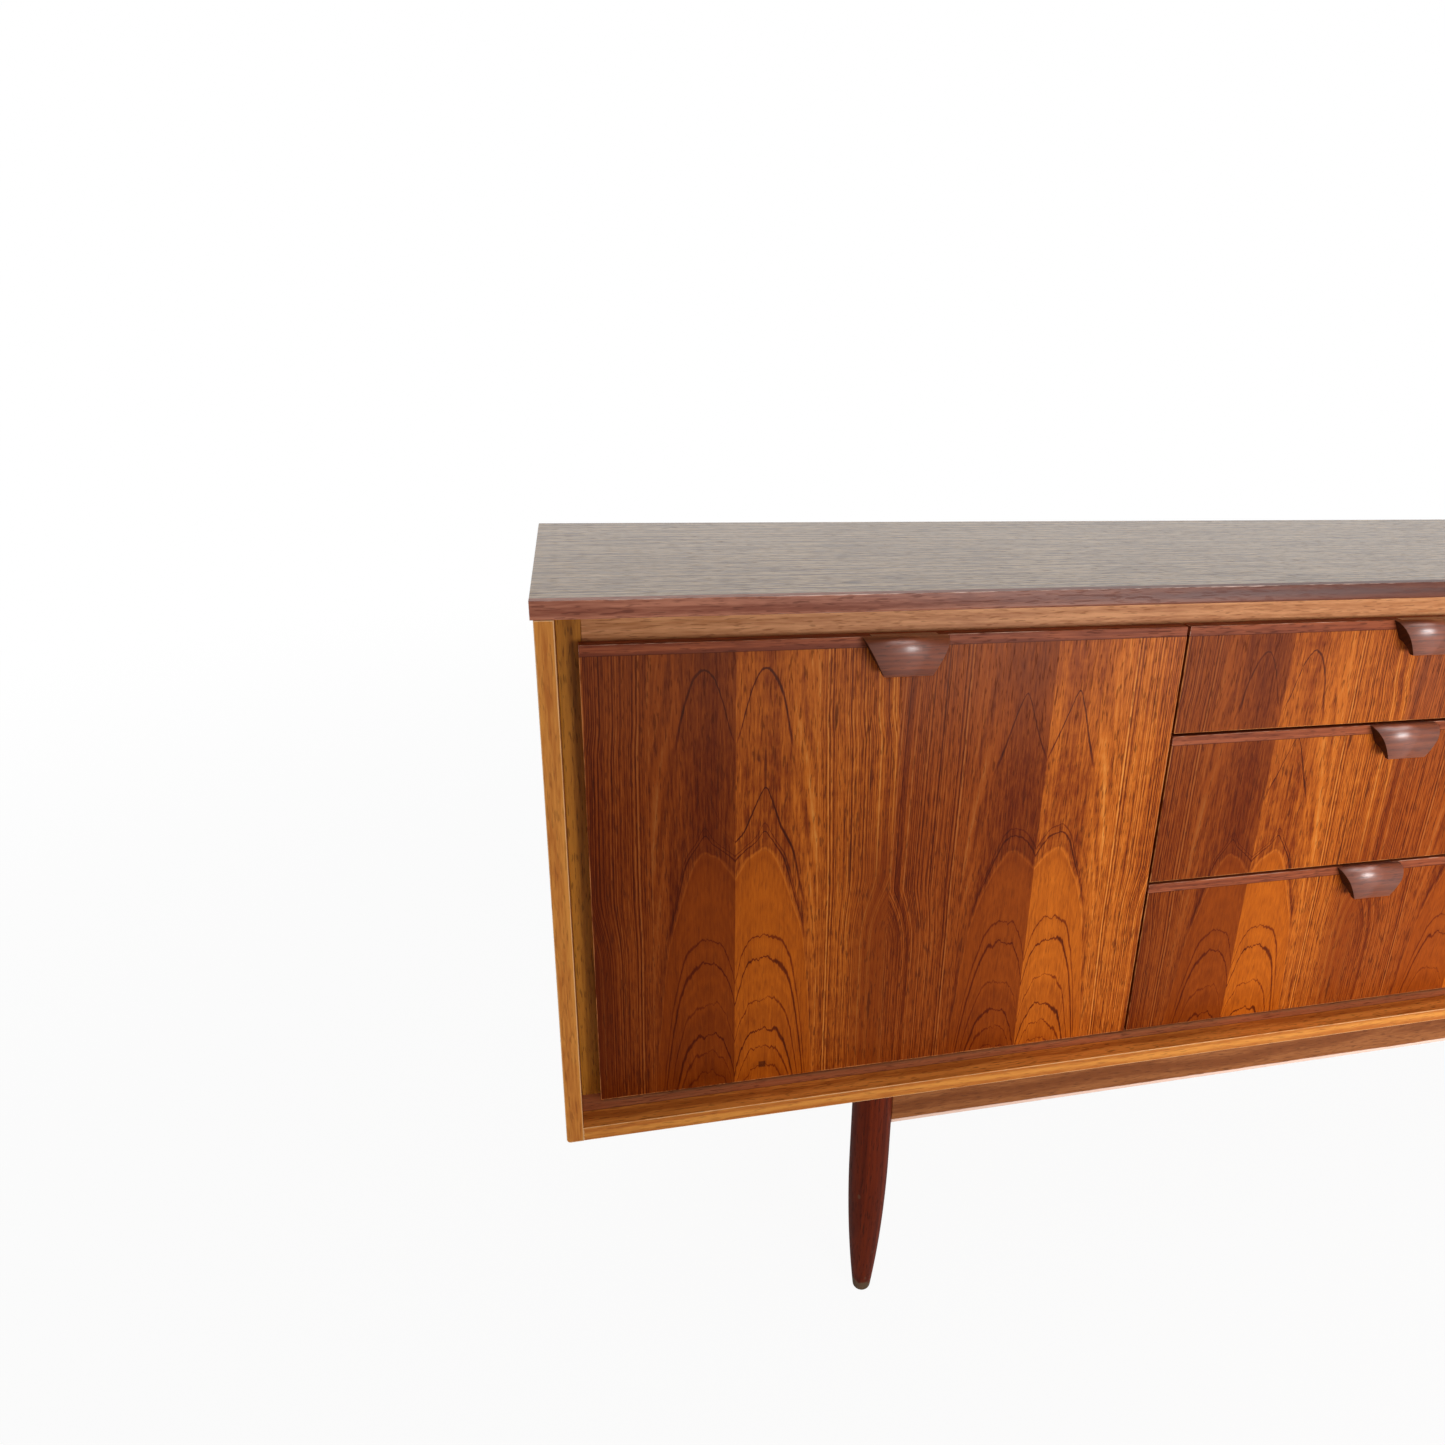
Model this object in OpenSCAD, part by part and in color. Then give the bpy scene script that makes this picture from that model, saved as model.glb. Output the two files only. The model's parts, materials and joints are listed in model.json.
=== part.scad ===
// Teak sideboard: two flap-door cupboards, three drawers between them, turned legs.
// The origin is on the floor under the middle of the cabinet. +X runs to the right,
// +Y to the back and +Z up. All sizes are millimetres.

/* [Cabinet] */
// Width over the top board
cabinet_w = 1790; // [1700:10:1900]
// Depth from the boards' front edges to the back panel's rear face
cabinet_d = 400; // [390:5:460]
// Height from the underside of the bottom board to the top surface
body_h = 534; // [510:2:580]
// Thickness of the top board
top_t = 16; // [13:1:20]
// Thickness of the side panels
side_t = 16; // [13:1:20]
// Thickness of the bottom board
bottom_t = 15; // [14:1:20]
// Thickness of the partitions
partition_t = 16; // [15:1:20]
// Thickness of the back panel
back_t = 5; // [3:1:6]
// How far the top board reaches past each side panel
top_overhang = 2.5; // [0:0.5:5]
// Depth of the solid lipping on the top board
top_lip_d = 10; // [6:1:20]
// Depth of the solid lippings on the side panels
side_lip_d = 6; // [4:1:12]
// Depth of the solid lipping on the bottom board
bottom_lip_d = 23.5; // [15:0.5:28]
// Radius of the side panels' lower outer corners
side_corner_r = 4; // [1:0.5:7]

/* [Front frame] */
// How far the door and drawer faces stand behind the boards' front edges
face_set_back = 33.5; // [25:0.5:45]
// Width of each front post
post_w = 21; // [16:1:30]
// Depth of the posts and of the top rail
frame_d = 20; // [14:1:24]
// Height of the top rail
rail_h = 36; // [33:1:42]

/* [Doors and drawer fronts] */
// Thickness of the flap and drawer fronts
front_t = 13; // [12:0.5:16]
// Height of the solid lipping along the top of each front
front_lip_h = 10; // [8:1:14]
// Width of each flap door
flap_w = 579; // [540:1:600]
// Gap between neighbouring fronts
front_gap = 3; // [2:0.5:4]
// Gap between a closed front and the frame behind it
frame_gap = 0.5; // [0.3:0.1:1]
// How far a flap laps over its post
post_lap = 3; // [1:0.5:6]
// Gap between the lowest fronts and the bottom board
floor_gap = 2.5; // [2:0.1:2.8]
// Drop from the top board's underside to the top of the fronts
front_drop = 30.5; // [27:0.5:32]
// Height of the top drawer's front
drawer_1_h = 112; // [100:1:125]
// Height of the middle drawer's front
drawer_2_h = 166.5; // [150:0.5:180]

/* [Handles] */
// Width of a handle where it leaves the top of the front
handle_top_w = 82; // [70:1:100]
// Width of a handle at its lower lip
handle_foot_w = 46; // [36:1:60]
// Height of a handle
handle_h = 34.5; // [30:0.5:40]
// How far a handle stands out from the front
handle_proud = 17.5; // [15:0.5:24]
// Thickness of the handle's lower lip
handle_lip_t = 4.7; // [3:0.1:6]
// Width of the tongue that is glued into the front
tongue_w = 64; // [50:1:70]
// Depth of that tongue
tongue_d = 8; // [5:0.5:9]

/* [Drawer boxes] */
// Space between the drawer boxes and the rear ends of the boards
drawer_rear_space = 18.5; // [10:0.5:60]
// Thickness of the drawer sides
drawer_side_t = 12; // [12:0.5:14]
// Thickness of the drawer backs
drawer_back_t = 10; // [8:0.5:14]
// Thickness of the plywood drawer bottoms
drawer_bottom_t = 4; // [3:0.5:6]
// Side play between a drawer and each partition
drawer_play = 1; // [0.5:0.25:2]
// Height of the runners
runner_h = 11.4; // [9:0.2:15]
// How far the runners reach into the drawer sides
runner_bite = 6.5; // [4:0.5:6.5]

/* [Flap hinges] */
// Distance of the hinge axis behind the flap's face
axis_in = 5.5; // [5.2:0.1:5.8]
// Height of the hinge axis over the bottom board
axis_up = 8.5; // [8.5:0.1:9.5]
// Diameter of the hinge pins
hinge_pin_d = 3; // [2:0.25:3.5]
// Diameter of the eye round a hinge pin
hinge_eye_d = 5.6; // [5:0.1:5.8]
// Width of the hinge arm
hinge_arm_w = 7; // [5:0.5:10]
// Distance of the hinges from the ends of a flap
hinge_inset = 70; // [50:5:120]

/* [Flap stays] */
// Distance of both stay pivots from the hinge axis
stay_r = 160; // [140:5:180]
// Angle of the rod guide behind the vertical over the hinge
guide_angle = 22; // [20:1:26]
// Diameter of the stay rod
rod_d = 6; // [5:0.5:7]
// Diameter of the swivelling guide
guide_d = 14; // [12:0.5:16]
// Opening angle of the flaps
flap_open = 90; // [80:1:90]

/* [Shelves] */
// Height of the shelves over the bottom board
shelf_up = 250; // [230:10:320]
// Thickness of the shelves
shelf_t = 15; // [12:1:18]

/* [Underframe] */
// Height of the legs
leg_h = 302; // [250:2:320]
// Diameter of the legs at the top
leg_d = 43.5; // [38:0.5:48]
// Diameter of the legs at the floor
foot_d = 19.5; // [16:0.5:26]
// Height of the curved, tapered part of the legs
taper_h = 200; // [150:5:220]
// Distance of the leg centres from the ends of the cabinet
leg_in_x = 324; // [250:1:360]
// Distance of the leg centres from the front and the back
leg_in_y = 40; // [32:1:60]
// Height of the long rails
long_rail_h = 62; // [45:1:75]
// Height of the cross rails
cross_rail_h = 45; // [40:1:60]
// Thickness of all underframe rails
base_rail_t = 18; // [14:1:24]

/* [Hidden] */
$fn = 48;

// Clearances
glue = 0.05;       // round glued tongues, tenons and dovetails
seat = 0.3;        // between pieces that rest or slide on each other
turn = 0.05;       // radial play of a pin in its eye
eps = 0.5;         // how far a cut runs past the face that it opens

// Colours
teak = "sienna";
teak_light = "peru";
teak_dark = "saddlebrown";
ply = "burlywood";
beech = "wheat";
brass = "goldenrod";
steel = "silver";

// Cabinet
front_y = -cabinet_d / 2;
rear_y = cabinet_d / 2;
floor_z = leg_h + bottom_t;
top_z = leg_h + body_h;
ceiling_z = top_z - top_t;
side_out_x = cabinet_w / 2 - top_overhang;
side_in_x = side_out_x - side_t;
board_rear_y = rear_y - back_t;
rebate_w = side_t / 2;

// Front frame, flaps and drawer fronts
face_y = front_y + face_set_back;
back_of_front_y = face_y + front_t;
frame_y = back_of_front_y + frame_gap;
frame_rear_y = frame_y + frame_d;
post_in_x = side_in_x - post_w;
rail_z = ceiling_z - rail_h;
flap_out_x = post_in_x + post_lap;
flap_in_x = flap_out_x - flap_w;
flap_mid_x = (flap_out_x + flap_in_x) / 2;
fronts_top_z = ceiling_z - front_drop;
fronts_low_z = floor_z + floor_gap;
partition_x = flap_in_x - front_gap / 2;
partition_out_x = partition_x + partition_t / 2;
partition_in_x = partition_x - partition_t / 2;
drawer_front_x = flap_in_x - front_gap;

// Lower and upper edges of the three drawer fronts, from the top one down
drawer_low_z = [
    fronts_top_z - drawer_1_h,
    fronts_top_z - drawer_1_h - front_gap - drawer_2_h,
    fronts_low_z
];
drawer_high_z = [fronts_top_z, drawer_low_z[0] - front_gap, drawer_low_z[1] - front_gap];

// Drawer boxes
box_x = partition_in_x - drawer_play;
box_rear_y = board_rear_y - drawer_rear_space;
box_inner_x = box_x - drawer_side_t;
box_rise = 6;                  // sides' lower edges over the front's lower edge
box_drop = 14;                 // sides' upper edges under the front's upper edge
bottom_rise = 8;               // drawer bottom over the sides' lower edges
bottom_bite = 3.7;             // drawer bottom's reach into its grooves
back_drop = 5;                 // back's upper edge under the sides' upper edges
groove_front = 20;             // end of the runner groove behind the front
groove_slack = 0.5;            // groove's depth beyond the runner's bite
runner_stop = 6;               // runner's front end behind the end of the groove
runner_short = 15;             // runner's rear end in front of the back panel
runner_drop = 2;               // runners' middle line under the fronts' middle line
housing_d = 7;                 // depth of the dovetail housing in the front
housing_neck = 6;              // width of that dovetail at its root
housing_tip = 9;               // width of that dovetail at its tip
tail_pitch = 42;               // nearest spacing of the rear dovetails
tail_share = 0.66;             // share of the pitch that a tail takes at its wide end
tail_slope = 1.6;              // how much a tail narrows on each flank

// Hinges and stays
axis_y = face_y + axis_in;
axis_z = floor_z + axis_up;
flap_round_r = front_t - axis_in;
cup_wall = 0.8;
cheek_t = 1.5;
arm_play = 0.4;
cup_x = hinge_arm_w / 2 + arm_play + cheek_t;
foot_t = 2.5;
foot_w = 26;
foot_l = 36;
arm_back = 9;
arm_leg_t = 3.5;
stay_off = 17;                                     // rod pivot behind the hinge axis
rod_x = partition_out_x + 16;
pivot_angle = asin(stay_off / stay_r);
rod_pivot = [axis_y + stay_off, axis_z + stay_r * cos(pivot_angle)];
guide_pivot = [axis_y + stay_r * sin(guide_angle), axis_z + stay_r * cos(guide_angle)];
rod_tilt = -(guide_angle + pivot_angle) / 2;
rod_reach = 2 * stay_r * sin((guide_angle - pivot_angle + flap_open) / 2);
collar_t = 4;
collar_d = rod_d + 4;
rod_l = rod_reach + guide_d / 2 + 2 * seat + collar_t;
rod_eye_d = 2 * rod_d;
rod_eye_t = 5;
rod_eye_root = 1;              // how far the rod runs into its eye
stay_pin_d = 4;
pin_head_d = 7;
pin_head_t = 1.5;
bracket_t = 2;
bracket_w = 22;
bracket_h = 32;
bracket_ear_r = 7;
guide_len = 21;
stud_d = 6;
stud_l = 9;
stay_plate_d = 30;

// Catches
catch_w = 44;
catch_d = 14;
catch_h = 12;
strike_inset = 2;              // strike's ends inside the ends of the magnet case

// Shelves
shelf_z = floor_z + shelf_up;
shelf_gap = 8;                 // shelf's front edge behind the frame
shelf_front_y = frame_rear_y + shelf_gap;
shelf_play = 1;
shelf_stud_d = 5;
shelf_stud_l = 8;
shelf_stud_front = 30;         // front studs behind the shelf's front edge
shelf_stud_rear = 45;          // rear studs in front of the back panel
shelf_stud_y = [shelf_front_y + shelf_stud_front, board_rear_y - shelf_stud_rear];

// Underframe
leg_x = cabinet_w / 2 - leg_in_x;
leg_y = cabinet_d / 2 - leg_in_y;
tenon_t = 8;
tenon_l = 14;
tenon_shoulder = 8;
foot_round = 3;
taper_power = 2.1;

// Handles
handle_shoulder_r = handle_proud + 0.5;            // round shoulder under the front's top edge
handle_face_r = 60;                                // slow curve of the face below it
handle_face_drop = 2;                              // its centre under the shoulder's centre
handle_finger_r = 15;                              // hollow for the fingertips
handle_finger_in = 1.8;                            // hollow's offset behind the lower lip

// Screws
screw_d = 3.5;
screw_head_d = 7;
screw_fit = 0.1;
screw_bottom = 0.5;            // hole's depth beyond the screw's point
back_screw_l = 22;
back_screw_low = 40;           // lowest screw in a side over the bottom board
back_screw_high = 70;          // highest one under the top surface, with the same board
back_screw_end = 65;           // outer screws along the bottom from the cabinet's ends
partition_screw_low = 90;
partition_screw_high = 110;
runner_screw_l = 18;
runner_screw_end = 30;
hinge_screw_l = 13;
hinge_screw_apart = 16;
hinge_screw_rear = 12;         // screw line in front of the foot's rear end
plate_screw_apart = 20;
catch_screw_l = 26;
catch_screw_apart = 30;
base_screw_l = 35;
base_screw_sink = 24;          // head's depth under the body
base_screw_share = 0.6;        // outer screws' place between the middle and a leg

runner_front_y = back_of_front_y + groove_front + runner_stop;
runner_rear_y = board_rear_y - runner_short;
runner_tip_x = partition_in_x - drawer_play - runner_bite;
hinge_xs = [flap_in_x + hinge_inset, flap_out_x - hinge_inset];
function runner_z(i) = (drawer_low_z[i] + drawer_high_z[i]) / 2 - runner_drop;

// A screw is its head's position, its direction and its length; both_x doubles a list left and right
function both_x(list) = [for (s = list, side = [-1, 1])
    [[side * s[0].x, s[0].y, s[0].z], [side * s[1].x, s[1].y, s[1].z], s[2]]];

back_screws_side = both_x([for (k = [0:3])
    let (span = body_h - back_screw_low - back_screw_high)
    [[side_in_x + rebate_w / 2, rear_y, floor_z + back_screw_low + k * span / 3],
     [0, -1, 0], back_screw_l]]);
back_screws_bottom = [for (k = [-2:2])
    [[k * (cabinet_w / 2 - 2 * back_screw_end) / 2, rear_y, leg_h + bottom_t / 2],
     [0, -1, 0], back_screw_l]];
back_screws_partition = both_x([for (k = [0:2])
    let (span = body_h - partition_screw_low - partition_screw_high)
    [[partition_x, rear_y, floor_z + partition_screw_low + k * span / 2],
     [0, -1, 0], back_screw_l]]);
runner_screws = both_x([
    for (i = [0:2], y = [runner_front_y + runner_screw_end, runner_rear_y - runner_screw_end])
    [[runner_tip_x, y, runner_z(i)], [1, 0, 0], runner_screw_l]]);
hinge_screws = both_x([for (x = hinge_xs, side = [-0.5, 0.5])
    [[x + side * hinge_screw_apart, axis_y + arm_back + foot_l - hinge_screw_rear, floor_z + foot_t],
     [0, 0, -1], hinge_screw_l]]);
plate_screws = both_x([for (side = [-0.5, 0.5])
    [[partition_out_x + bracket_t, guide_pivot[0], guide_pivot[1] + side * plate_screw_apart],
     [-1, 0, 0], hinge_screw_l]]);
catch_screws = both_x([for (side = [-0.5, 0.5])
    [[flap_mid_x + side * catch_screw_apart, frame_y + catch_d / 2 + seat, rail_z - catch_h],
     [0, 0, 1], catch_screw_l]]);
base_screws_long = [for (k = [-1:1], side = [-1, 1])
    [[k * leg_x * base_screw_share, side * leg_y, leg_h - base_screw_sink], [0, 0, 1], base_screw_l]];
base_screws_cross = both_x([for (side = [-0.5, 0.5])
    [[leg_x, side * leg_y, leg_h - base_screw_sink], [0, 0, 1], base_screw_l]]);

all_screws = concat(
    back_screws_side, back_screws_bottom, back_screws_partition, runner_screws,
    hinge_screws, plate_screws, catch_screws, base_screws_long, base_screws_cross);

// ---- helpers -------------------------------------------------------------

// Box between two corners
module block(low, high) {
    translate(low) cube(high - low);
}

// Outline drawn in Y and Z, run along X from x0 to x1
module along_x(x0, x1) {
    translate([x0, 0, 0]) rotate([90, 0, 90]) linear_extrude(x1 - x0) children();
}

// Outline drawn in X and Z, run along Y from y0 to y1
module along_y(y0, y1) {
    translate([0, y1, 0]) rotate([90, 0, 0]) linear_extrude(y1 - y0) children();
}

// Cylinder along X
module rod_along_x(x0, x1, d, y, z) {
    translate([x0, y, z]) rotate([0, 90, 0]) cylinder(d = d, h = x1 - x0);
}

// The children on the left (side = -1) or on the right (side = 1); drawn for the right
module on_side(side) {
    if (side < 0) mirror([1, 0, 0]) children();
    else children();
}

module both_sides() {
    for (side = [-1, 1]) on_side(side) children();
}

// Countersunk wood screw with its head's face at the origin, pointing along +Z
module screw_body(l, play = 0, past = 0) {
    head_h = (screw_head_d - screw_d) / 2;
    cylinder(d1 = screw_head_d + 2 * play, d2 = screw_d + 2 * play, h = head_h);
    cylinder(d = screw_d + 2 * play, h = l);
    if (past > 0) translate([0, 0, -past]) cylinder(d = screw_head_d + 2 * play, h = past);
}

module at_screws(list, play = 0, past = 0) {
    for (s = list)
        translate(s[0])
            rotate([0, acos(s[1].z), atan2(s[1].y, s[1].x)])
                screw_body(s[2] + (play > 0 ? screw_bottom : 0), play, past);
}

module screw_holes(list, past = eps) {
    at_screws(list, screw_fit, past);
}

// ---- carcass -------------------------------------------------------------

// Top board, veneered, behind its solid front lipping
module top_board() {
    color(teak)
        block([-cabinet_w / 2, front_y + top_lip_d, ceiling_z], [cabinet_w / 2, rear_y, top_z]);
}

// Solid front lipping of the top board, its lower arris eased
module top_lipping() {
    ease = top_t / 8;
    color(teak_dark) along_x(-cabinet_w / 2, cabinet_w / 2) union() {
        translate([front_y, ceiling_z + ease]) square([top_lip_d, top_t - ease]);
        translate([front_y + ease, ceiling_z]) square([top_lip_d - ease, top_t]);
        translate([front_y + ease, ceiling_z + ease]) circle(ease);
    }
}

// Front outline of a side panel, its lower outer corner rounded
module side_outline() {
    r = side_corner_r;
    translate([side_in_x, leg_h + r]) square([side_t, body_h - top_t - r]);
    translate([side_in_x, leg_h]) square([side_t - r, body_h - top_t]);
    translate([side_out_x - r, leg_h + r]) circle(r);
}

module side_panel(side) {
    color(teak) on_side(side) difference() {
        along_y(front_y + side_lip_d, rear_y) side_outline();
        block([side_in_x - eps, board_rear_y, leg_h - eps],
              [side_in_x + rebate_w, rear_y + eps, ceiling_z + eps]);
        screw_holes(back_screws_side);
        for (y = shelf_stud_y)
            rod_along_x(side_in_x - eps, side_in_x + shelf_stud_l + eps, shelf_stud_d + 2 * glue,
                        y, shelf_z - shelf_stud_d / 2 - glue);
    }
}

module side_lippings() {
    color(teak_light) both_sides() along_y(front_y, front_y + side_lip_d) side_outline();
}

module bottom_board() {
    color(teak) difference() {
        block([-side_in_x, front_y + bottom_lip_d, leg_h], [side_in_x, board_rear_y, floor_z]);
        screw_holes(back_screws_bottom);
        screw_holes(hinge_screws);
        screw_holes(base_screws_long);
        screw_holes(base_screws_cross);
    }
}

module bottom_lipping() {
    color(teak_light)
        block([-side_in_x, front_y, leg_h], [side_in_x, front_y + bottom_lip_d, floor_z]);
}

module back_panel() {
    color(ply) difference() {
        block([-side_in_x - rebate_w, board_rear_y, leg_h],
              [side_in_x + rebate_w, rear_y, ceiling_z]);
        screw_holes(back_screws_side);
        screw_holes(back_screws_bottom);
        screw_holes(back_screws_partition);
    }
}

// Partition between a cupboard and the drawers, notched round the top rail
module partition(side) {
    color(teak) on_side(side) difference() {
        block([partition_in_x, frame_y, floor_z], [partition_out_x, board_rear_y, ceiling_z]);
        block([partition_in_x - eps, frame_y - eps, rail_z],
              [partition_out_x + eps, frame_rear_y, ceiling_z + eps]);
        screw_holes(back_screws_partition);
        screw_holes(runner_screws);
        screw_holes(plate_screws);
        for (y = shelf_stud_y)
            rod_along_x(partition_out_x - shelf_stud_l - eps, partition_out_x + eps,
                        shelf_stud_d + 2 * glue, y, shelf_z - shelf_stud_d / 2 - glue);
    }
}

module front_posts() {
    color(teak_light) both_sides()
        block([post_in_x, frame_y, floor_z], [side_in_x, frame_rear_y, ceiling_z]);
}

module top_rail() {
    color(teak_light) difference() {
        block([-post_in_x, frame_y, rail_z], [post_in_x, frame_rear_y, ceiling_z]);
        screw_holes(catch_screws);
    }
}

module shelves() {
    color(teak) both_sides()
        block([partition_out_x + shelf_play, shelf_front_y, shelf_z],
              [side_in_x - shelf_play, board_rear_y - shelf_play, shelf_z + shelf_t]);
}

// Turned studs, half of each in its hole and half under the shelf
module shelf_studs() {
    z = shelf_z - shelf_stud_d / 2 - glue;
    color(brass) both_sides() for (y = shelf_stud_y) {
        rod_along_x(side_in_x - shelf_stud_l, side_in_x + shelf_stud_l, shelf_stud_d, y, z);
        rod_along_x(partition_out_x - shelf_stud_l, partition_out_x + shelf_stud_l, shelf_stud_d, y, z);
    }
}

module drawer_runners() {
    color(beech) both_sides() difference() {
        for (i = [0:2])
            block([runner_tip_x, runner_front_y, runner_z(i) - runner_h / 2],
                  [partition_in_x, runner_rear_y, runner_z(i) + runner_h / 2]);
        screw_holes(runner_screws);
    }
}

module wood_screws() {
    color(steel) at_screws(all_screws);
}

// Magnet cases of the flap catches, screwed up into the top rail
module catch_cases() {
    color(teak_dark) difference() {
        both_sides() block([flap_mid_x - catch_w / 2, frame_y + seat, rail_z - catch_h],
                           [flap_mid_x + catch_w / 2, frame_y + seat + catch_d, rail_z]);
        screw_holes(catch_screws);
    }
}

// ---- underframe ----------------------------------------------------------

function leg_radius(z) =
    leg_d / 2 - (leg_d - foot_d) / 2 * pow(max(0, taper_h - z) / taper_h, taper_power);

// Turned leg: straight at the rails, then a long curve in to a small rounded foot
module turned_leg() {
    steps = 14;
    rotate_extrude() polygon(concat(
        [[0, 0], [leg_radius(0) - foot_round, 0]],
        [for (k = [0:steps])
            let (z = foot_round + k * (taper_h - foot_round) / steps) [leg_radius(z), z]],
        [[leg_d / 2, leg_h], [0, leg_h]]));
}

// Tenon or mortise from near the leg's centre outwards along +X
module tenon(rail_height, play) {
    block([leg_d / 2 - tenon_l - play, -tenon_t / 2 - play, leg_h - rail_height + tenon_shoulder - play],
          [leg_d / 2 + eps, tenon_t / 2 + play, leg_h - tenon_shoulder + play]);
}

// Leg with its long-rail mortise towards the middle and its cross-rail mortise inwards
module leg(side_x, side_y) {
    color(teak_dark) translate([side_x * leg_x, side_y * leg_y, 0]) difference() {
        turned_leg();
        rotate([0, 0, side_x < 0 ? 0 : 180]) tenon(long_rail_h, glue);
        rotate([0, 0, side_y < 0 ? 90 : -90]) tenon(cross_rail_h, glue);
    }
}

// Long rail between two legs, its shoulders scribed to them
module base_long_rail(side_y) {
    color(teak_dark) difference() {
        union() {
            difference() {
                block([-leg_x, side_y * leg_y - base_rail_t / 2, leg_h - long_rail_h],
                      [leg_x, side_y * leg_y + base_rail_t / 2, leg_h]);
                for (side = [-1, 1])
                    translate([side * leg_x, side_y * leg_y, 0])
                        cylinder(d = leg_d + 2 * glue, h = leg_h + eps);
            }
            both_sides() translate([leg_x, side_y * leg_y, 0]) rotate([0, 0, 180]) tenon(long_rail_h, 0);
        }
        screw_holes(base_screws_long, long_rail_h);
    }
}

module base_cross_rails() {
    color(teak_dark) both_sides() difference() {
        union() {
            difference() {
                block([leg_x - base_rail_t / 2, -leg_y, leg_h - cross_rail_h],
                      [leg_x + base_rail_t / 2, leg_y, leg_h]);
                for (side = [-1, 1])
                    translate([leg_x, side * leg_y, 0])
                        cylinder(d = leg_d + 2 * glue, h = leg_h + eps);
            }
            for (side = [-1, 1])
                translate([leg_x, side * leg_y, 0]) rotate([0, 0, -90 * side]) tenon(cross_rail_h, 0);
        }
        screw_holes(base_screws_cross, cross_rail_h);
    }
}

// ---- handles and fronts --------------------------------------------------

// Section of a lip handle: Y = 0 is the front's face, Z = 0 its top edge
module handle_section() {
    far = handle_proud + 1;
    difference() {
        intersection() {
            translate([handle_face_r - handle_proud, -handle_shoulder_r - handle_face_drop])
                circle(handle_face_r, $fn = 96);
            union() {
                intersection() {
                    translate([handle_shoulder_r - handle_proud, -handle_shoulder_r])
                        circle(handle_shoulder_r, $fn = 96);
                    translate([-far, -handle_shoulder_r]) square([far, handle_shoulder_r]);
                }
                translate([-far, -handle_h]) square([far, handle_h - handle_shoulder_r]);
            }
        }
        translate([handle_finger_r + handle_lip_t + handle_finger_in - handle_proud, -handle_h])
            circle(handle_finger_r, $fn = 64);
    }
}

// Carved handle with its tongue let into the lipping behind it
module handle(x, z) {
    color(teak_dark) translate([x, face_y, z]) {
        intersection() {
            along_x(-handle_top_w / 2, handle_top_w / 2) handle_section();
            along_y(-handle_proud - 1, 0) polygon([
                [-handle_top_w / 2, 0], [handle_top_w / 2, 0],
                [handle_foot_w / 2, -handle_h], [-handle_foot_w / 2, -handle_h]]);
        }
        block([-tongue_w / 2, 0, -front_lip_h + glue], [tongue_w / 2, tongue_d, 0]);
    }
}

// Solid lipping along the top of a front, notched for the handle's tongue
module front_lipping(x0, x1, z) {
    mid = (x0 + x1) / 2;
    color(teak_dark) difference() {
        block([x0, face_y, z - front_lip_h], [x1, back_of_front_y, z]);
        block([mid - tongue_w / 2 - glue, face_y - eps, z - front_lip_h - eps],
              [mid + tongue_w / 2 + glue, face_y + tongue_d + glue, z + eps]);
    }
}

// ---- flap doors ----------------------------------------------------------

// Section of a flap: the lower inner edge is round about the hinge axis
module flap_section() {
    low = fronts_low_z;
    high = fronts_top_z - front_lip_h;
    translate([face_y, low]) square([axis_in, high - low]);
    translate([axis_y, axis_z]) square([flap_round_r, high - axis_z]);
    intersection() {
        translate([axis_y, axis_z]) circle(flap_round_r);
        translate([axis_y, low]) square([flap_round_r, axis_z - low]);
    }
}

// Space of a hinge cup: a notch open to the flap's back and lower edge
module cup_notch(play) {
    reach = hinge_eye_d / 2 + seat + cup_wall + play;
    block([-cup_x - play, axis_y - reach, floor_z],
          [cup_x + play, back_of_front_y + eps, axis_z + reach]);
}

module flap_panel(side) {
    color(teak) on_side(side) difference() {
        along_x(flap_in_x, flap_out_x) flap_section();
        for (x = hinge_xs) translate([x, 0, 0]) cup_notch(glue);
    }
}

// Steel cups with their riveted pins, let into the flap's lower edge
module hinge_cups(side) {
    reach = hinge_eye_d / 2 + seat;
    color(steel) on_side(side)
        for (x = hinge_xs) translate([x, 0, 0]) {
            difference() {
                intersection() {
                    along_x(-cup_x, cup_x) flap_section();
                    cup_notch(0);
                }
                block([-cup_x + cheek_t, axis_y - reach, floor_z - eps],
                      [cup_x - cheek_t, back_of_front_y + 2 * eps, axis_z + reach]);
            }
            pin_x = cup_x - cheek_t / 2;
            rod_along_x(-pin_x, pin_x, hinge_pin_d, axis_y, axis_z);
        }
}

// Fixed feet of the hinges: a screwed plate and an arm with the pin's eye
module hinge_feet() {
    half = hinge_arm_w / 2;
    eye = hinge_eye_d / 2;
    color(steel) difference() {
        both_sides() for (x = hinge_xs) translate([x, 0, 0]) {
            difference() {
                union() {
                    along_x(-half, half) union() {
                        translate([axis_y, axis_z]) circle(eye);
                        translate([axis_y, axis_z - eye]) square([arm_back + arm_leg_t, 2 * eye]);
                        translate([axis_y + arm_back, floor_z]) square([arm_leg_t, axis_up]);
                    }
                    block([-foot_w / 2, axis_y + arm_back, floor_z],
                          [foot_w / 2, axis_y + arm_back + foot_l, floor_z + foot_t]);
                }
                rod_along_x(-half - eps, half + eps, hinge_pin_d + 2 * turn, axis_y, axis_z);
            }
        }
        screw_holes(hinge_screws);
    }
}

// Steel strip that the magnets hold, on the back of the flap
module strike_plate(side) {
    half = catch_w / 2 - strike_inset;
    color(steel) on_side(side)
        block([flap_mid_x - half, back_of_front_y, rail_z - catch_h],
              [flap_mid_x + half, back_of_front_y + frame_gap, rail_z - frame_gap]);
}

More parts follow.
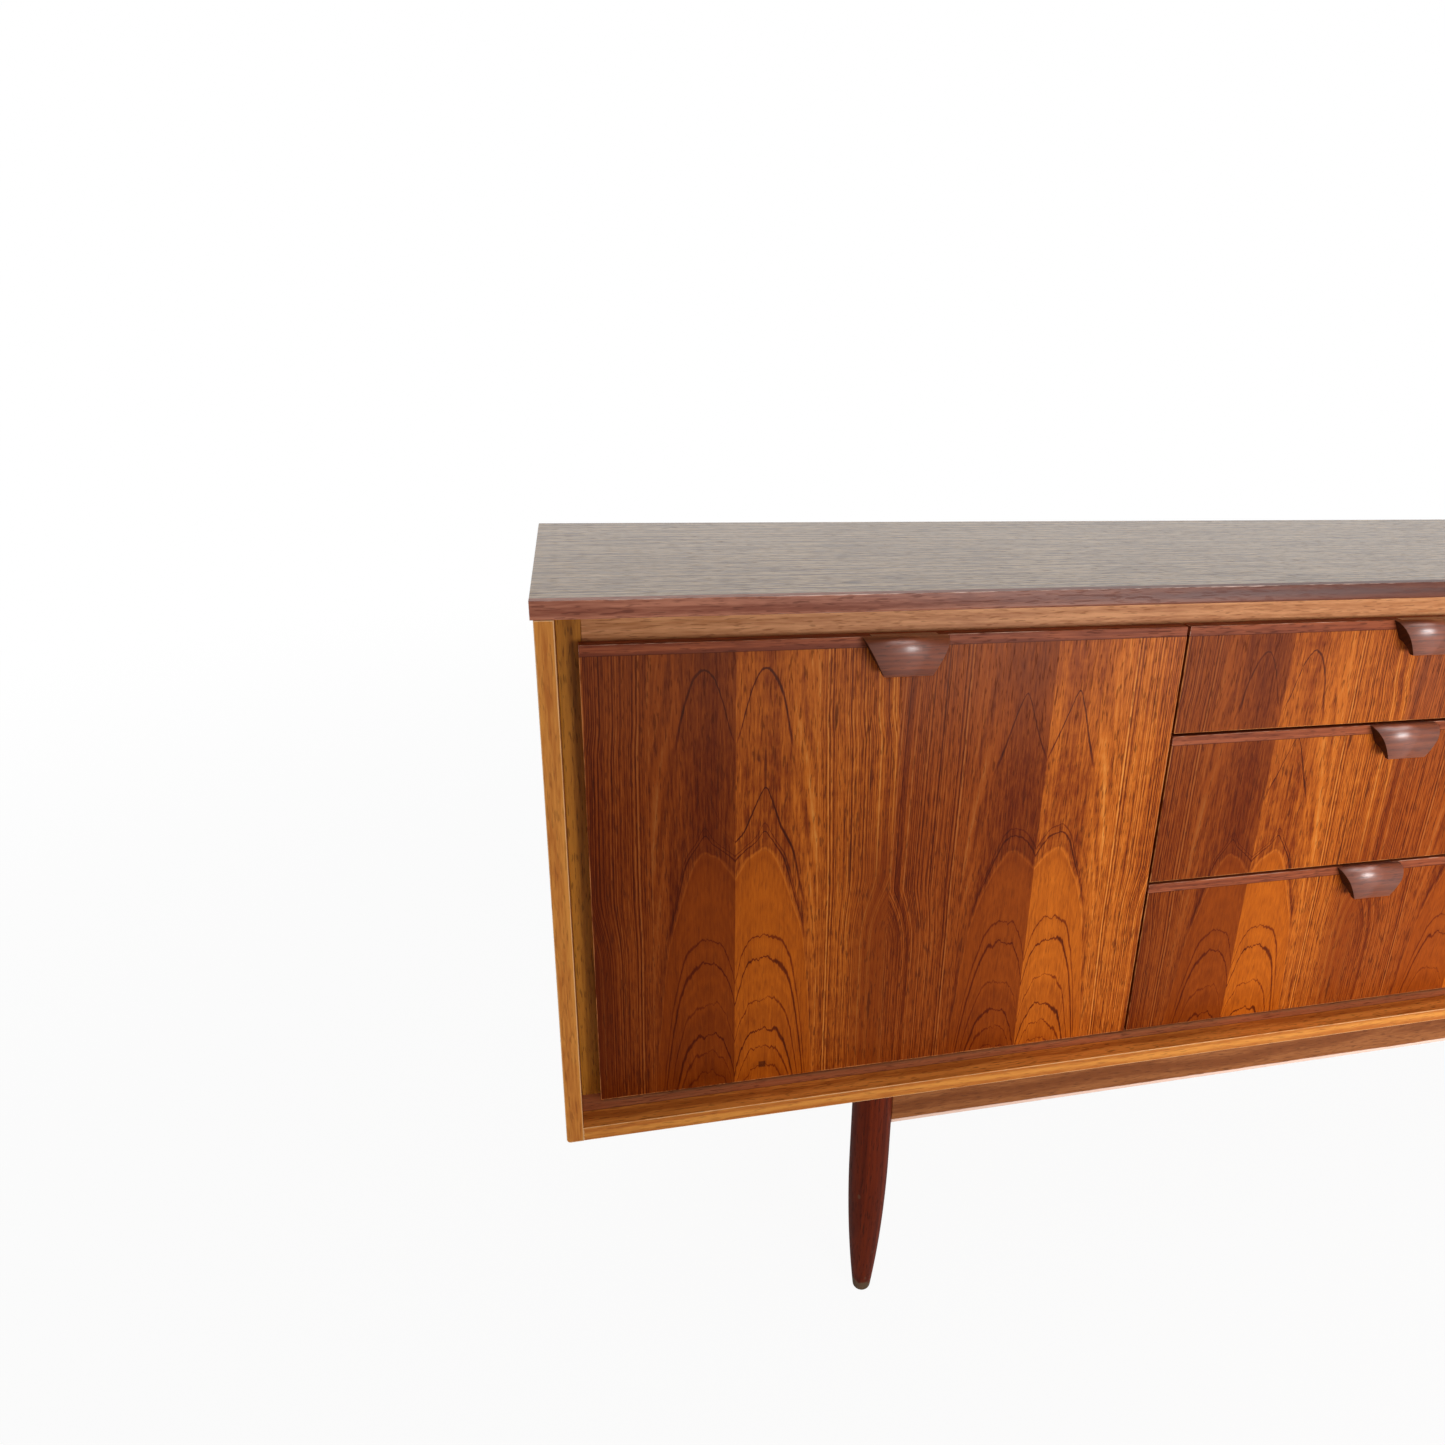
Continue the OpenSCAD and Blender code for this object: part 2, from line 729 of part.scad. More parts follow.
// Bracket on the flap that carries the rod's pivot pin
module stay_bracket(side) {
    head_x = rod_x - rod_eye_t / 2 - seat;
    ear_x = rod_x + rod_eye_t / 2 + bracket_t;
    ear_r = bracket_ear_r;
    y = rod_pivot[0];
    z = rod_pivot[1];
    color(brass) on_side(side) {
        block([ear_x, back_of_front_y, z - bracket_h / 2],
              [ear_x + bracket_w, back_of_front_y + bracket_t, z + bracket_h / 2]);
        rod_along_x(ear_x, ear_x + bracket_t, 2 * ear_r, y, z);
        block([ear_x, back_of_front_y, z - ear_r], [ear_x + bracket_t, y, z + ear_r]);
        rod_along_x(head_x, ear_x + bracket_t / 2, stay_pin_d, y, z);
        rod_along_x(head_x - pin_head_t, head_x, pin_head_d, y, z);
    }
}

// Stay rod: an eye on the bracket's pin, a long rod and a stop collar
module stay_rod(side) {
    root = rod_eye_d / 2 - rod_eye_root;
    color(brass) on_side(side)
        translate([rod_x, rod_pivot[0], rod_pivot[1]]) rotate([rod_tilt, 0, 0]) difference() {
            union() {
                rod_along_x(-rod_eye_t / 2, rod_eye_t / 2, rod_eye_d, 0, 0);
                translate([0, root, 0]) rotate([-90, 0, 0]) cylinder(d = rod_d, h = rod_l - root);
                translate([0, rod_l - collar_t, 0]) rotate([-90, 0, 0])
                    cylinder(d = collar_d, h = collar_t);
            }
            rod_along_x(-rod_eye_t, rod_eye_t, stay_pin_d + 2 * turn, 0, 0);
        }
}

// Swivelling guide that the rod slides through
module stay_guide(side) {
    plate_x = partition_out_x + bracket_t;
    x0 = plate_x + seat;
    color(brass) on_side(side) translate([0, guide_pivot[0], guide_pivot[1]]) difference() {
        rod_along_x(x0, x0 + guide_len, guide_d, 0, 0);
        rod_along_x(plate_x, plate_x + stud_l + seat, stud_d + 2 * turn, 0, 0);
        translate([rod_x, 0, 0]) rotate([rod_tilt - 90, 0, 0])
            translate([0, 0, -guide_d]) cylinder(d = rod_d + seat, h = 2 * guide_d);
    }
}

// Plates on the partitions with the studs that the guides turn on
module stay_plates() {
    x0 = partition_out_x;
    color(brass) difference() {
        both_sides() {
            rod_along_x(x0, x0 + bracket_t, stay_plate_d, guide_pivot[0], guide_pivot[1]);
            rod_along_x(x0, x0 + bracket_t + stud_l, stud_d, guide_pivot[0], guide_pivot[1]);
        }
        screw_holes(plate_screws);
    }
}

// ---- drawers -------------------------------------------------------------

function box_low(i) = drawer_low_z[i] + box_rise;
function box_high(i) = drawer_high_z[i] - box_drop;
function bottom_z(i) = box_low(i) + bottom_rise;
function back_low(i) = bottom_z(i) + drawer_bottom_t;
function back_high(i) = box_high(i) - back_drop;
function tail_count(i) = max(2, round((back_high(i) - back_low(i)) / tail_pitch));

// Plan of the dovetail that joins a side to the back of the front
module housing_plan(play) {
    mid = box_x - drawer_side_t / 2;
    y = back_of_front_y;
    neck = housing_neck / 2 + play;
    tip = housing_tip / 2 + play;
    polygon([
        [mid - neck, y + play], [mid + neck, y + play],
        [mid + tip, y - housing_d - play], [mid - tip, y - housing_d - play]]);
}

// Side view of the tails that a side holds in the drawer's back
module tails(i, play) {
    low = back_low(i);
    pitch = (back_high(i) - low) / tail_count(i);
    wide = pitch * tail_share / 2;
    y1 = box_rear_y;
    y0 = y1 - drawer_back_t;
    for (k = [0:tail_count(i) - 1]) {
        z = low + (k + 0.5) * pitch;
        polygon([[y0, z - wide + tail_slope + play], [y1, z - wide + play],
                 [y1, z + wide - play], [y0, z + wide - tail_slope - play]]);
    }
}

// Grooves for the drawer's bottom in the front and the sides, opened by play on every face
module bottom_groove(i, play, y0, y1) {
    x = box_inner_x + bottom_bite + play;
    block([-x, y0, bottom_z(i) - play], [x, y1, bottom_z(i) + drawer_bottom_t + play]);
}

// Grooves for the two runners
module runner_grooves(i, y0, y1) {
    half = runner_h / 2 + seat;
    both_sides() block([box_x - runner_bite - groove_slack, y0, runner_z(i) - half],
                       [box_x + eps, y1, runner_z(i) + half]);
}

module drawer_front(i) {
    y = back_of_front_y;
    color(teak) difference() {
        block([-drawer_front_x, face_y, drawer_low_z[i]],
              [drawer_front_x, y, drawer_high_z[i] - front_lip_h]);
        both_sides() translate([0, 0, drawer_low_z[i] - eps])
            linear_extrude(box_high(i) - drawer_low_z[i] + eps + glue) housing_plan(glue);
        bottom_groove(i, glue, y - bottom_bite - glue, y + eps);
    }
}

// Drawer sides: runner groove outside, bottom groove inside, dovetails at both ends
module drawer_sides(i) {
    y0 = back_of_front_y;
    y1 = box_rear_y;
    y_back = y1 - drawer_back_t;
    color(beech) difference() {
        both_sides() {
            block([box_inner_x, y0, box_low(i)], [box_x, y_back, box_high(i)]);
            block([box_inner_x, y_back, box_low(i)], [box_x, y1, back_low(i)]);
            block([box_inner_x, y_back, back_high(i)], [box_x, y1, box_high(i)]);
            along_x(box_inner_x, box_x) tails(i, glue);
            translate([0, 0, box_low(i)]) linear_extrude(box_high(i) - box_low(i)) housing_plan(0);
        }
        runner_grooves(i, y0 + groove_front, y1 + eps);
        bottom_groove(i, glue, y0 - housing_d - eps, y1 + eps);
    }
}

// Drawer back: pins through the sides, standing on the drawer's bottom
module drawer_back(i) {
    y0 = box_rear_y - drawer_back_t;
    y1 = box_rear_y;
    color(beech) difference() {
        block([-box_x, y0, back_low(i) + glue], [box_x, y1, back_high(i) - glue]);
        both_sides() intersection() {
            along_x(box_inner_x, box_x + eps) tails(i, 0);
            block([box_inner_x, y0 - eps, 0], [box_x + eps, y1 + eps, top_z]);
        }
        runner_grooves(i, y0 - eps, y1 + eps);
    }
}

// Plywood bottom, slid into its grooves from the rear
module drawer_bottom(i) {
    x = box_inner_x + bottom_bite;
    color(ply) block([-x, back_of_front_y - bottom_bite, bottom_z(i)],
                     [x, box_rear_y, bottom_z(i) + drawer_bottom_t]);
}

// ---- nodes ---------------------------------------------------------------

top_board();
top_lipping();
side_panel(-1);  // side_left
side_panel(1);  // side_right
side_lippings();
bottom_board();
bottom_lipping();
back_panel();
partition(-1);  // partition_left
partition(1);  // partition_right
front_posts();
top_rail();
shelves();
shelf_studs();
drawer_runners();
wood_screws();
catch_cases();
hinge_feet();
stay_plates();
leg(-1, -1);  // leg_front_left
leg(1, -1);  // leg_front_right
leg(-1, 1);  // leg_rear_left
leg(1, 1);  // leg_rear_right
base_long_rail(-1);  // base_rail_front
base_long_rail(1);  // base_rail_rear
base_cross_rails();

for (side = [-1, 1]) {
    word = side < 0 ? "left" : "right";
    flap_panel(side);
    on_side(side) front_lipping(flap_in_x, flap_out_x, fronts_top_z);
    handle(side * flap_mid_x, fronts_top_z);
    hinge_cups(side);
    strike_plate(side);
    stay_bracket(side);
    stay_rod(side);
    stay_guide(side);
}

for (i = [0:2]) {
    name = str("drawer_", i + 1, "_");
    drawer_front(i);
    front_lipping(-drawer_front_x, drawer_front_x, drawer_high_z[i]);
    handle(0, drawer_high_z[i]);
    drawer_sides(i);
    drawer_back(i);
    drawer_bottom(i);
}
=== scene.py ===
"""Dressed model of a teak sideboard: two flap cupboards, three drawers and turned legs.

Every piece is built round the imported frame. Lengths are metres in the frame's own axes:
X runs along the cabinet, Y from its front to its back and Z up.
"""

import json
import logging
import math
from collections.abc import Callable, Iterable, Sequence
from dataclasses import dataclass, replace
from enum import Enum
from typing import Any

import bmesh
import bpy
from mathutils import Matrix, Vector


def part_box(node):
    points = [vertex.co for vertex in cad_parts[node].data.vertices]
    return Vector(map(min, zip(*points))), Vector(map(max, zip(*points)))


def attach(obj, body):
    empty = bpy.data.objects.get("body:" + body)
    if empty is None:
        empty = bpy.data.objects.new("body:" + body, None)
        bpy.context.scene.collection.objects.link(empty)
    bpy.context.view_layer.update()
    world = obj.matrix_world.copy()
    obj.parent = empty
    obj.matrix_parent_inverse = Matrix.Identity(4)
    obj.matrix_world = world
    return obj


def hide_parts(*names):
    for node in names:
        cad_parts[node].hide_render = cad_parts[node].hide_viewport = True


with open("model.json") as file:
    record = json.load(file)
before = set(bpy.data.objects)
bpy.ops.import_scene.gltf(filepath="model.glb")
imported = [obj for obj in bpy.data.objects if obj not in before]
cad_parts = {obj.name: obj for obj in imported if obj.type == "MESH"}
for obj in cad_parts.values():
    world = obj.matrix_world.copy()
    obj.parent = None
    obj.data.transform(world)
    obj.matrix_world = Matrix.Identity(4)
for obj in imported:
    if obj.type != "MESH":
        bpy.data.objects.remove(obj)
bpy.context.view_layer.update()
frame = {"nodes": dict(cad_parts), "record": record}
LOG = logging.getLogger("sideboard")
DRAWERS = 3
RIGHT_RUN_SHIFT = 0.104
BODIES = frame["record"]["behaviour"]["bodies"]
BODY_OF = {node: body for body, nodes in BODIES.items() for node in nodes}

Paint = tuple[float, float, float, float]
WHITE: Paint = (1.0, 1.0, 1.0, 1.0)


def paint(red: int, green: int, blue: int) -> Paint:
    """Mixes a paint from display values.

    Args:
        red: Red from 0 to 255, as it looks on a screen.
        green: Green from 0 to 255.
        blue: Blue from 0 to 255.

    Returns:
        The colour in linear light, with full opacity.
    """
    levels = (part / 255 for part in (red, green, blue))
    linear = [part / 12.92 if part <= 0.04045 else ((part + 0.055) / 1.055) ** 2.4
              for part in levels]
    return (linear[0], linear[1], linear[2], 1.0)


class Wire:
    """An output socket that takes part in arithmetic."""

    def __init__(self, graph: "Graph", socket: bpy.types.NodeSocket) -> None:
        """Keeps the node graph and the socket in it."""
        self.graph = graph
        self.socket = socket

    def _math(self, operation: str, *values: "Wire | float") -> "Wire":
        """Adds one Math node on the given values."""
        return self.graph.node("ShaderNodeMath", {"operation": operation}, dict(enumerate(values)))

    def __add__(self, other: "Wire | float") -> "Wire":
        """Sum."""
        return self._math("ADD", self, other)

    def __radd__(self, other: float) -> "Wire":
        """Sum with a number on the left."""
        return self._math("ADD", other, self)

    def __sub__(self, other: "Wire | float") -> "Wire":
        """Difference."""
        return self._math("SUBTRACT", self, other)

    def __rsub__(self, other: float) -> "Wire":
        """Difference from a number on the left."""
        return self._math("SUBTRACT", other, self)

    def __mul__(self, other: "Wire | float") -> "Wire":
        """Product."""
        return self._math("MULTIPLY", self, other)

    def __rmul__(self, other: float) -> "Wire":
        """Product with a number on the left."""
        return self._math("MULTIPLY", other, self)

    def __truediv__(self, other: "Wire | float") -> "Wire":
        """Quotient."""
        return self._math("DIVIDE", self, other)

    def __pow__(self, other: "Wire | float") -> "Wire":
        """Power."""
        return self._math("POWER", self, other)

    def __abs__(self) -> "Wire":
        """Size without its sign."""
        return self._math("ABSOLUTE", self)

    def over(self, level: "Wire | float") -> "Wire":
        """1 where the value is over a level, and 0 elsewhere."""
        return self._math("GREATER_THAN", self, level)

    def least(self, other: "Wire | float") -> "Wire":
        """The lower of two values."""
        return self._math("MINIMUM", self, other)

    def most(self, other: "Wire | float") -> "Wire":
        """The higher of two values."""
        return self._math("MAXIMUM", self, other)

    def rise(self, start: float, end: float) -> "Wire":
        """Soft step from 0 at start to 1 at end; it falls where end is the lower one."""
        limits = {"Value": self, "From Min": start, "From Max": end}
        return self.graph.node("ShaderNodeMapRange", {"interpolation_type": "SMOOTHSTEP"}, limits)


class Graph:
    """A node tree with the few calls that the finishes and the repeated pieces need."""

    def __init__(self, tree: bpy.types.NodeTree) -> None:
        """Keeps the tree."""
        self.tree = tree

    @classmethod
    def of_material(cls, name: str) -> tuple["Graph", bpy.types.Material]:
        """Starts an empty material.

        Args:
            name: Name of the material.

        Returns:
            The graph of its node tree, and the material.
        """
        material = bpy.data.materials.new(name)
        material.use_nodes = True
        material.node_tree.nodes.clear()
        return cls(material.node_tree), material

    def node(self, kind: str, settings: dict[str, Any] | None = None,
             inputs: dict[str | int, Any] | None = None, output: str | int = 0) -> Wire:
        """Adds a node of any type.

        Args:
            kind: The node's type.
            settings: Its own settings, which are set first; "stops" are a colour ramp's stops.
            inputs: Values, wires or lists of wires for its sockets, by name or number.
            output: The output socket that is wanted.

        Returns:
            That output as a wire; an end node, which has none, gives its input.
        """
        made = self.tree.nodes.new(kind)
        for name, value in (settings or {}).items():
            if name == "stops":
                self._set_stops(made.color_ramp, value)
            else:
                setattr(made, name, value)
        for name, value in (inputs or {}).items():
            if isinstance(value, Wire | list):
                for wire in (value if isinstance(value, list) else [value]):
                    self.tree.links.new(wire.socket, made.inputs[name])
            else:
                made.inputs[name].default_value = value
        return Wire(self, (made.outputs or made.inputs)[output])

    @staticmethod
    def _set_stops(ramp: bpy.types.ColorRamp, stops: Sequence[tuple[float, Paint]]) -> None:
        """Gives a colour ramp its stops.

        Args:
            ramp: The ramp, as a new node has it.
            stops: Place and colour of each stop, in rising order.
        """
        ramp.elements.remove(ramp.elements[-1])
        for number, (place, colour) in enumerate(stops):
            stop = ramp.elements[0] if number == 0 else ramp.elements.new(place)
            stop.position = place
            stop.color = colour

    def mix(self, share: Wire | float, first: Wire | Paint, second: Wire | Paint,
            blend: str = "MIX") -> Wire:
        """Mixes two colours.

        Args:
            share: Share of the second colour.
            first: First colour.
            second: Second colour.
            blend: How the second colour goes over the first.

        Returns:
            The mixed colour.
        """
        settings = {"data_type": "RGBA", "blend_type": blend, "clamp_factor": True}
        return self.node("ShaderNodeMix", settings, {0: share, 6: first, 7: second}, 2)

    def vector(self, x: Wire | float, y: Wire | float, z: Wire | float) -> Wire:
        """Joins three values into a vector."""
        return self.node("ShaderNodeCombineXYZ", None, {0: x, 1: y, 2: z})

    def split(self, vector: Wire) -> tuple[Wire, Wire, Wire]:
        """Splits a vector into its three values."""
        parts = self.node("ShaderNodeSeparateXYZ", None, {0: vector}).socket.node.outputs
        return Wire(self, parts[0]), Wire(self, parts[1]), Wire(self, parts[2])

    def noise(self, x: Wire | float, y: Wire | float = 0.0, z: Wire | float = 0.0,
              detail: float = 2.0, roughness: float = 0.5) -> Wire:
        """Cloudy noise, about 0.5 in the middle, in a space that is already scaled."""
        place = {"Vector": self.vector(x, y, z), "Scale": 1.0,
                 "Detail": detail, "Roughness": roughness}
        return self.node("ShaderNodeTexNoise", None, place)

    def bands(self, place: Wire, detail: float = 3.0) -> Wire:
        """Noise along one line only, which makes bands of uneven width."""
        inputs = {"W": place, "Scale": 1.0, "Detail": detail}
        return self.node("ShaderNodeTexNoise", {"noise_dimensions": "1D"}, inputs)

    def speckle(self, x: Wire | float, y: Wire | float, z: Wire | float) -> Wire:
        """Distance to the nearest of many scattered points, in a space that is already scaled."""
        place = {"Vector": self.vector(x, y, z), "Scale": 1.0}
        return self.node("ShaderNodeTexVoronoi", None, place)

    def carried(self, name: str, output: str = "Vector") -> Wire:
        """Reads what every point of the piece carries under a name."""
        return self.node("ShaderNodeAttribute", {"attribute_name": name}, None, output)

    def cabinet_place(self) -> tuple[Wire, Wire, Wire]:
        """Reads a point's place in the cabinet's own axes."""
        return self.split(self.node("ShaderNodeTexCoord", None, None, "Object"))

    def bump(self, height: Wire, depth: float, strength: float) -> Wire:
        """Turns small heights into a surface that catches the light."""
        sizes = {"Strength": strength, "Distance": depth, "Height": height}
        return self.node("ShaderNodeBump", None, sizes)

    def surface(self, looks: dict[str, Wire | float | Paint]) -> None:
        """Gives the material one all-round shader with the given values."""
        self.close(self.node("ShaderNodeBsdfPrincipled", None, looks))

    def close(self, last: Wire, end: str = "ShaderNodeOutputMaterial") -> None:
        """Joins the last wire to the end of the tree."""
        self.node(end, None, {0: last})


class Grain(Enum):
    """The way that a piece's fibres run, as the order of axes: along, across, through."""

    ALONG_X = (0, 2, 1)
    FLAT_X = (0, 1, 2)
    ALONG_Y = (1, 0, 2)
    ALONG_Z = (2, 0, 1)


class Joint(Enum):
    """The flush glued face of a piece, as axis and corner of its box; its edges stay sharp."""

    FRONT = (1, 0)
    REAR = (1, 1)
    BOTTOM = (2, 0)
    TOP = (2, 1)


class Side(Enum):
    """A side of the cabinet, by the word in the nodes' names."""

    LEFT = "left"
    RIGHT = "right"


@dataclass(frozen=True)
class Place:
    """Where a point lies in the wood."""

    along: Wire
    across: Wire
    through: Wire


@dataclass(frozen=True)
class LeafPlace(Place):
    """Where a point lies on the matched leaves.

    bright and right are 1 on the bright leaves and right of the middle seam; off and height are
    measured from the arches' middle line and the leaf's foot; ring is the growth ring's own height.
    """

    bright: Wire
    right: Wire
    off: Wire
    height: Wire
    ring: Wire
    steepness: Wire


@dataclass(frozen=True)
class Finish:
    """What every finish has: a name, and the record's slot that it belongs to."""

    name: str
    slot: str

    def build(self) -> bpy.types.Material:
        """Builds the material."""
        raise NotImplementedError

    def material(self) -> bpy.types.Material:
        """Gives the finish's material, built at its first use."""
        return bpy.data.materials.get(self.name) or self.build()


@dataclass(frozen=True)
class Timber(Finish):
    """Oiled solid wood with growth rings, fibres, pores and worn arrises.

    Attributes:
        dark: Colour of the late wood.
        light: Colour of the early wood.
        pore: Colour in the pores.
        worn: Colour of the bare wood on worn arrises.
        ring: Width of a growth ring.
        wander: How far the rings stray from straight lines.
        streaks: How strongly fibres and streaks show.
        pores: How strongly the pores show.
        wear: How strongly the worn places show.
        wear_from: How much wear a place needs before it shows; a lower value wears more.
        shortness: How short the fibres are, against those of a long straight board.
        fineness: How fine the streaks are, against those of a plain board.
        relief: Depth of the pores.
        glue_line: Width of the dark line at a glued face.
        fibre_count: Fibres in a metre across the wood.
        pore_count: Pores in a metre across the wood.
        streak_count: Streaks in a metre across the wood.
        knock_count: Grains of wear in a metre across the wood.
    """

    dark: Paint
    light: Paint
    pore: Paint
    worn: Paint
    ring: float = 0.007
    wander: float = 0.010
    streaks: float = 0.35
    pores: float = 0.55
    wear: float = 0.5
    wear_from: float = 0.95
    shortness: float = 1.0
    roughness: float = 0.44
    sheen: float = 0.4
    coat: float = 0.0
    coat_roughness: float = 0.18
    fineness: float = 1.0
    relief: float = 0.00012
    glue_line: float = 0.0006
    fibre_count: float = 450.0
    pore_count: float = 640.0
    streak_count: float = 130.0
    knock_count: float = 500.0

    def nearest_edge(self, graph: Graph) -> Wire:
        """Finds how far the nearest arris of the piece's box is.

        Args:
            graph: The material's graph.

        Returns:
            The distance, in widths of the worn band.
        """
        inner = graph.split(graph.carried("inner"))
        room = graph.split(graph.carried("room"))
        first, second, third = (low.least(high) for low, high in zip(inner, room))
        return first.least(second).most(first.most(second).least(third))

    def locate(self, graph: Graph, along: Wire, across: Wire, through: Wire) -> Place:
        """Says where a point lies, from its place along, across and through the wood."""
        return Place(along, across, through)

    def tone(self, graph: Graph, place: Place) -> Wire:
        """Lightness of the wood from its growth rings.

        Args:
            graph: The material's graph.
            place: Where the point lies.

        Returns:
            A value about 0.5, low in the dark late wood and high in the early wood.
        """
        drift = graph.noise(place.along * 2.5, place.across * 9, place.through * 9) - 0.5
        rings = place.across * 0.85 + place.through * 0.53 + drift * self.wander
        return graph.bands(rings / self.ring)

    def colour(self, graph: Graph, tone: Wire, place: Place) -> Wire:
        """Colour of the clean wood for a tone."""
        return graph.mix(tone.rise(0.25, 0.75), self.dark, self.light)

    def openness(self, graph: Graph, place: Place) -> Wire | float:
        """How open the pores are, which is the same all over here."""
        return 1.0

    def marks(self, graph: Graph, place: Place) -> tuple[Wire | float, Paint]:
        """Share and colour of what use has left on the surface, which is nothing here."""
        return 0.0, self.pore

    def gloss(self, graph: Graph, pore: Wire, streak: Wire, marked: Wire | float) -> Wire | float:
        """Weight of the lacquer, which is even here."""
        return self.coat

    def build(self) -> bpy.types.Material:
        """Builds the wood's material.

        Returns:
            The new material.
        """
        graph, material = Graph.of_material(self.name)
        arris = self.nearest_edge(graph).rise(1.0, 0.2)
        glued = graph.carried("glued", "Fac")
        along, across, through = graph.split(graph.carried("grain"))
        place = self.locate(graph, along, across, through)
        openness = self.openness(graph, place)
        fibre = graph.noise(along * 16 * self.shortness, across * self.fibre_count,
                            through * self.fibre_count, 2.0)
        narrow = self.streak_count * self.fineness
        streak = graph.noise(along * 3.5 * self.shortness, across * narrow, through * narrow, 3.0)
        pore = graph.noise(along * 75, across * self.pore_count, through * self.pore_count, 1.0)
        pore = pore.rise(0.57, 0.69) * openness
        tone = self.tone(graph, place) + (fibre + streak - 1) * openness * self.streaks
        colour = self.colour(graph, tone, place)
        colour = graph.mix(pore * self.pores, colour, self.pore)
        marked, stain = self.marks(graph, place)
        colour = graph.mix(marked, colour, stain)
        chips = graph.noise(along * 70, across * self.knock_count, through * self.knock_count, 3.0)
        knocks = graph.noise(along * 9, across * 20, through * 20, 2.0)
        bare = arris * 0.55 + chips * 0.5 + knocks * 0.45
        bare = bare.rise(self.wear_from, self.wear_from + 0.2)
        bare = bare * arris.rise(0.05, 0.5)
        colour = graph.mix(bare * self.wear, colour, self.worn)
        seam = glued.rise(self.glue_line, self.glue_line * 0.3)
        colour = graph.mix(seam * 0.7, colour, self.pore)
        rough = pore * 0.12 + bare * 0.15 + (streak - 0.5) * 0.10 + self.roughness
        graph.surface({
            "Base Color": colour, "Roughness": rough,
            "Normal": graph.bump(fibre * 0.4 - pore, self.relief, 0.5),
            "Specular IOR Level": self.sheen, "Coat Roughness": self.coat_roughness,
            "Coat Weight": self.gloss(graph, pore, streak, marked)})
        return material


@dataclass(frozen=True)
class TableTop(Timber):
    """Veneer of the top: long straight figure under a thin lacquer, with old water marks."""

    stain: Paint = paint(58, 32, 22)

    def marks(self, graph: Graph, place: Place) -> tuple[Wire | float, Paint]:
        """Draws short dark marks that lie along the grain, closer together in a few places.

        Args:
            graph: The material's graph.
            place: Where the point lies.

        Returns:
            How much of a mark the point has, and the marks' colour.
        """
        spots = graph.speckle(place.along * 20, place.across * 75, 0.5).rise(0.24, 0.10)
        places = graph.noise(place.along * 3.1 + 4.3, place.across * 6, 0.0, 1.0).rise(0.54, 0.60)
        return spots * places * 0.8, self.stain

    def gloss(self, graph: Graph, pore: Wire, streak: Wire, marked: Wire | float) -> Wire | float:
        """Thins the lacquer over pores, streaks and marks.

        Args:
            graph: The material's graph; not used here.
            pore: 1 in a pore.
            streak: Lightness of the streaks.
            marked: 1 in a mark.

        Returns:
            The lacquer's weight.
        """
        lacquer = streak.rise(0.25, 0.75) * 1.1 + 0.3
        lacquer = lacquer * (1 - pore * 0.7) * (1 - marked * 0.8)
        return (lacquer * self.coat).least(1.0)


@dataclass(frozen=True)
class PaintedShadeLipping(Timber):
    """Lipping of the top, with painted shade that darkens it towards the right end, where the lamp
    lights it more.
    """

    # Painted shade: what the colour is multiplied by at the right end.
    depth: Paint = (0.28, 0.20, 0.17, 1.0)
    painted_shade_from: float = -0.10
    painted_shade_to: float = -0.95

    def colour(self, graph: Graph, tone: Wire, place: Place) -> Wire:
        """Paints shade that deepens the wood's colour towards the right.

        Args:
            graph: The material's graph.
            tone: Lightness of the wood.
            place: Where the point lies.

        Returns:
            The colour.
        """
        x, _, _ = graph.cabinet_place()
        right_shade = x.rise(self.painted_shade_to, self.painted_shade_from)
        return graph.mix(right_shade, super().colour(graph, tone, place), self.depth, "MULTIPLY")


@dataclass(frozen=True)
class LegTimber(Timber):
    """Dark turned wood whose foot is scuffed pale."""

    scuffed: Paint = paint(104, 88, 66)
    scuff_height: float = 0.014

    def marks(self, graph: Graph, place: Place) -> tuple[Wire | float, Paint]:
        """Scuffs the foot and adds a few small knocks.

        Args:
            graph: The material's graph.
            place: Where the point lies.

        Returns:
            How scuffed the point is, and the colour of the scuffs.
        """
        torn = graph.noise(place.along * 60, place.across * 140, place.through * 140, 3.0) - 0.5
        foot = (place.along + torn * 0.02).rise(self.scuff_height * 1.15, self.scuff_height * 0.85)
        nick = graph.speckle(place.along * 22, place.across * 40, place.through * 40)
        return (foot * 0.75).most(nick.rise(0.09, 0.05) * 0.35), self.scuffed


@dataclass(frozen=True)
class Arch:
    """One dark line of late wood in the arched figure."""

    height: float
    half_width: float
    depth: float


@dataclass(frozen=True)
class Fleck:
    """A short dark streak in the veneer, placed from the arches' middle line and the floor."""

    out: float
    height: float
    half_width: float
    half_length: float


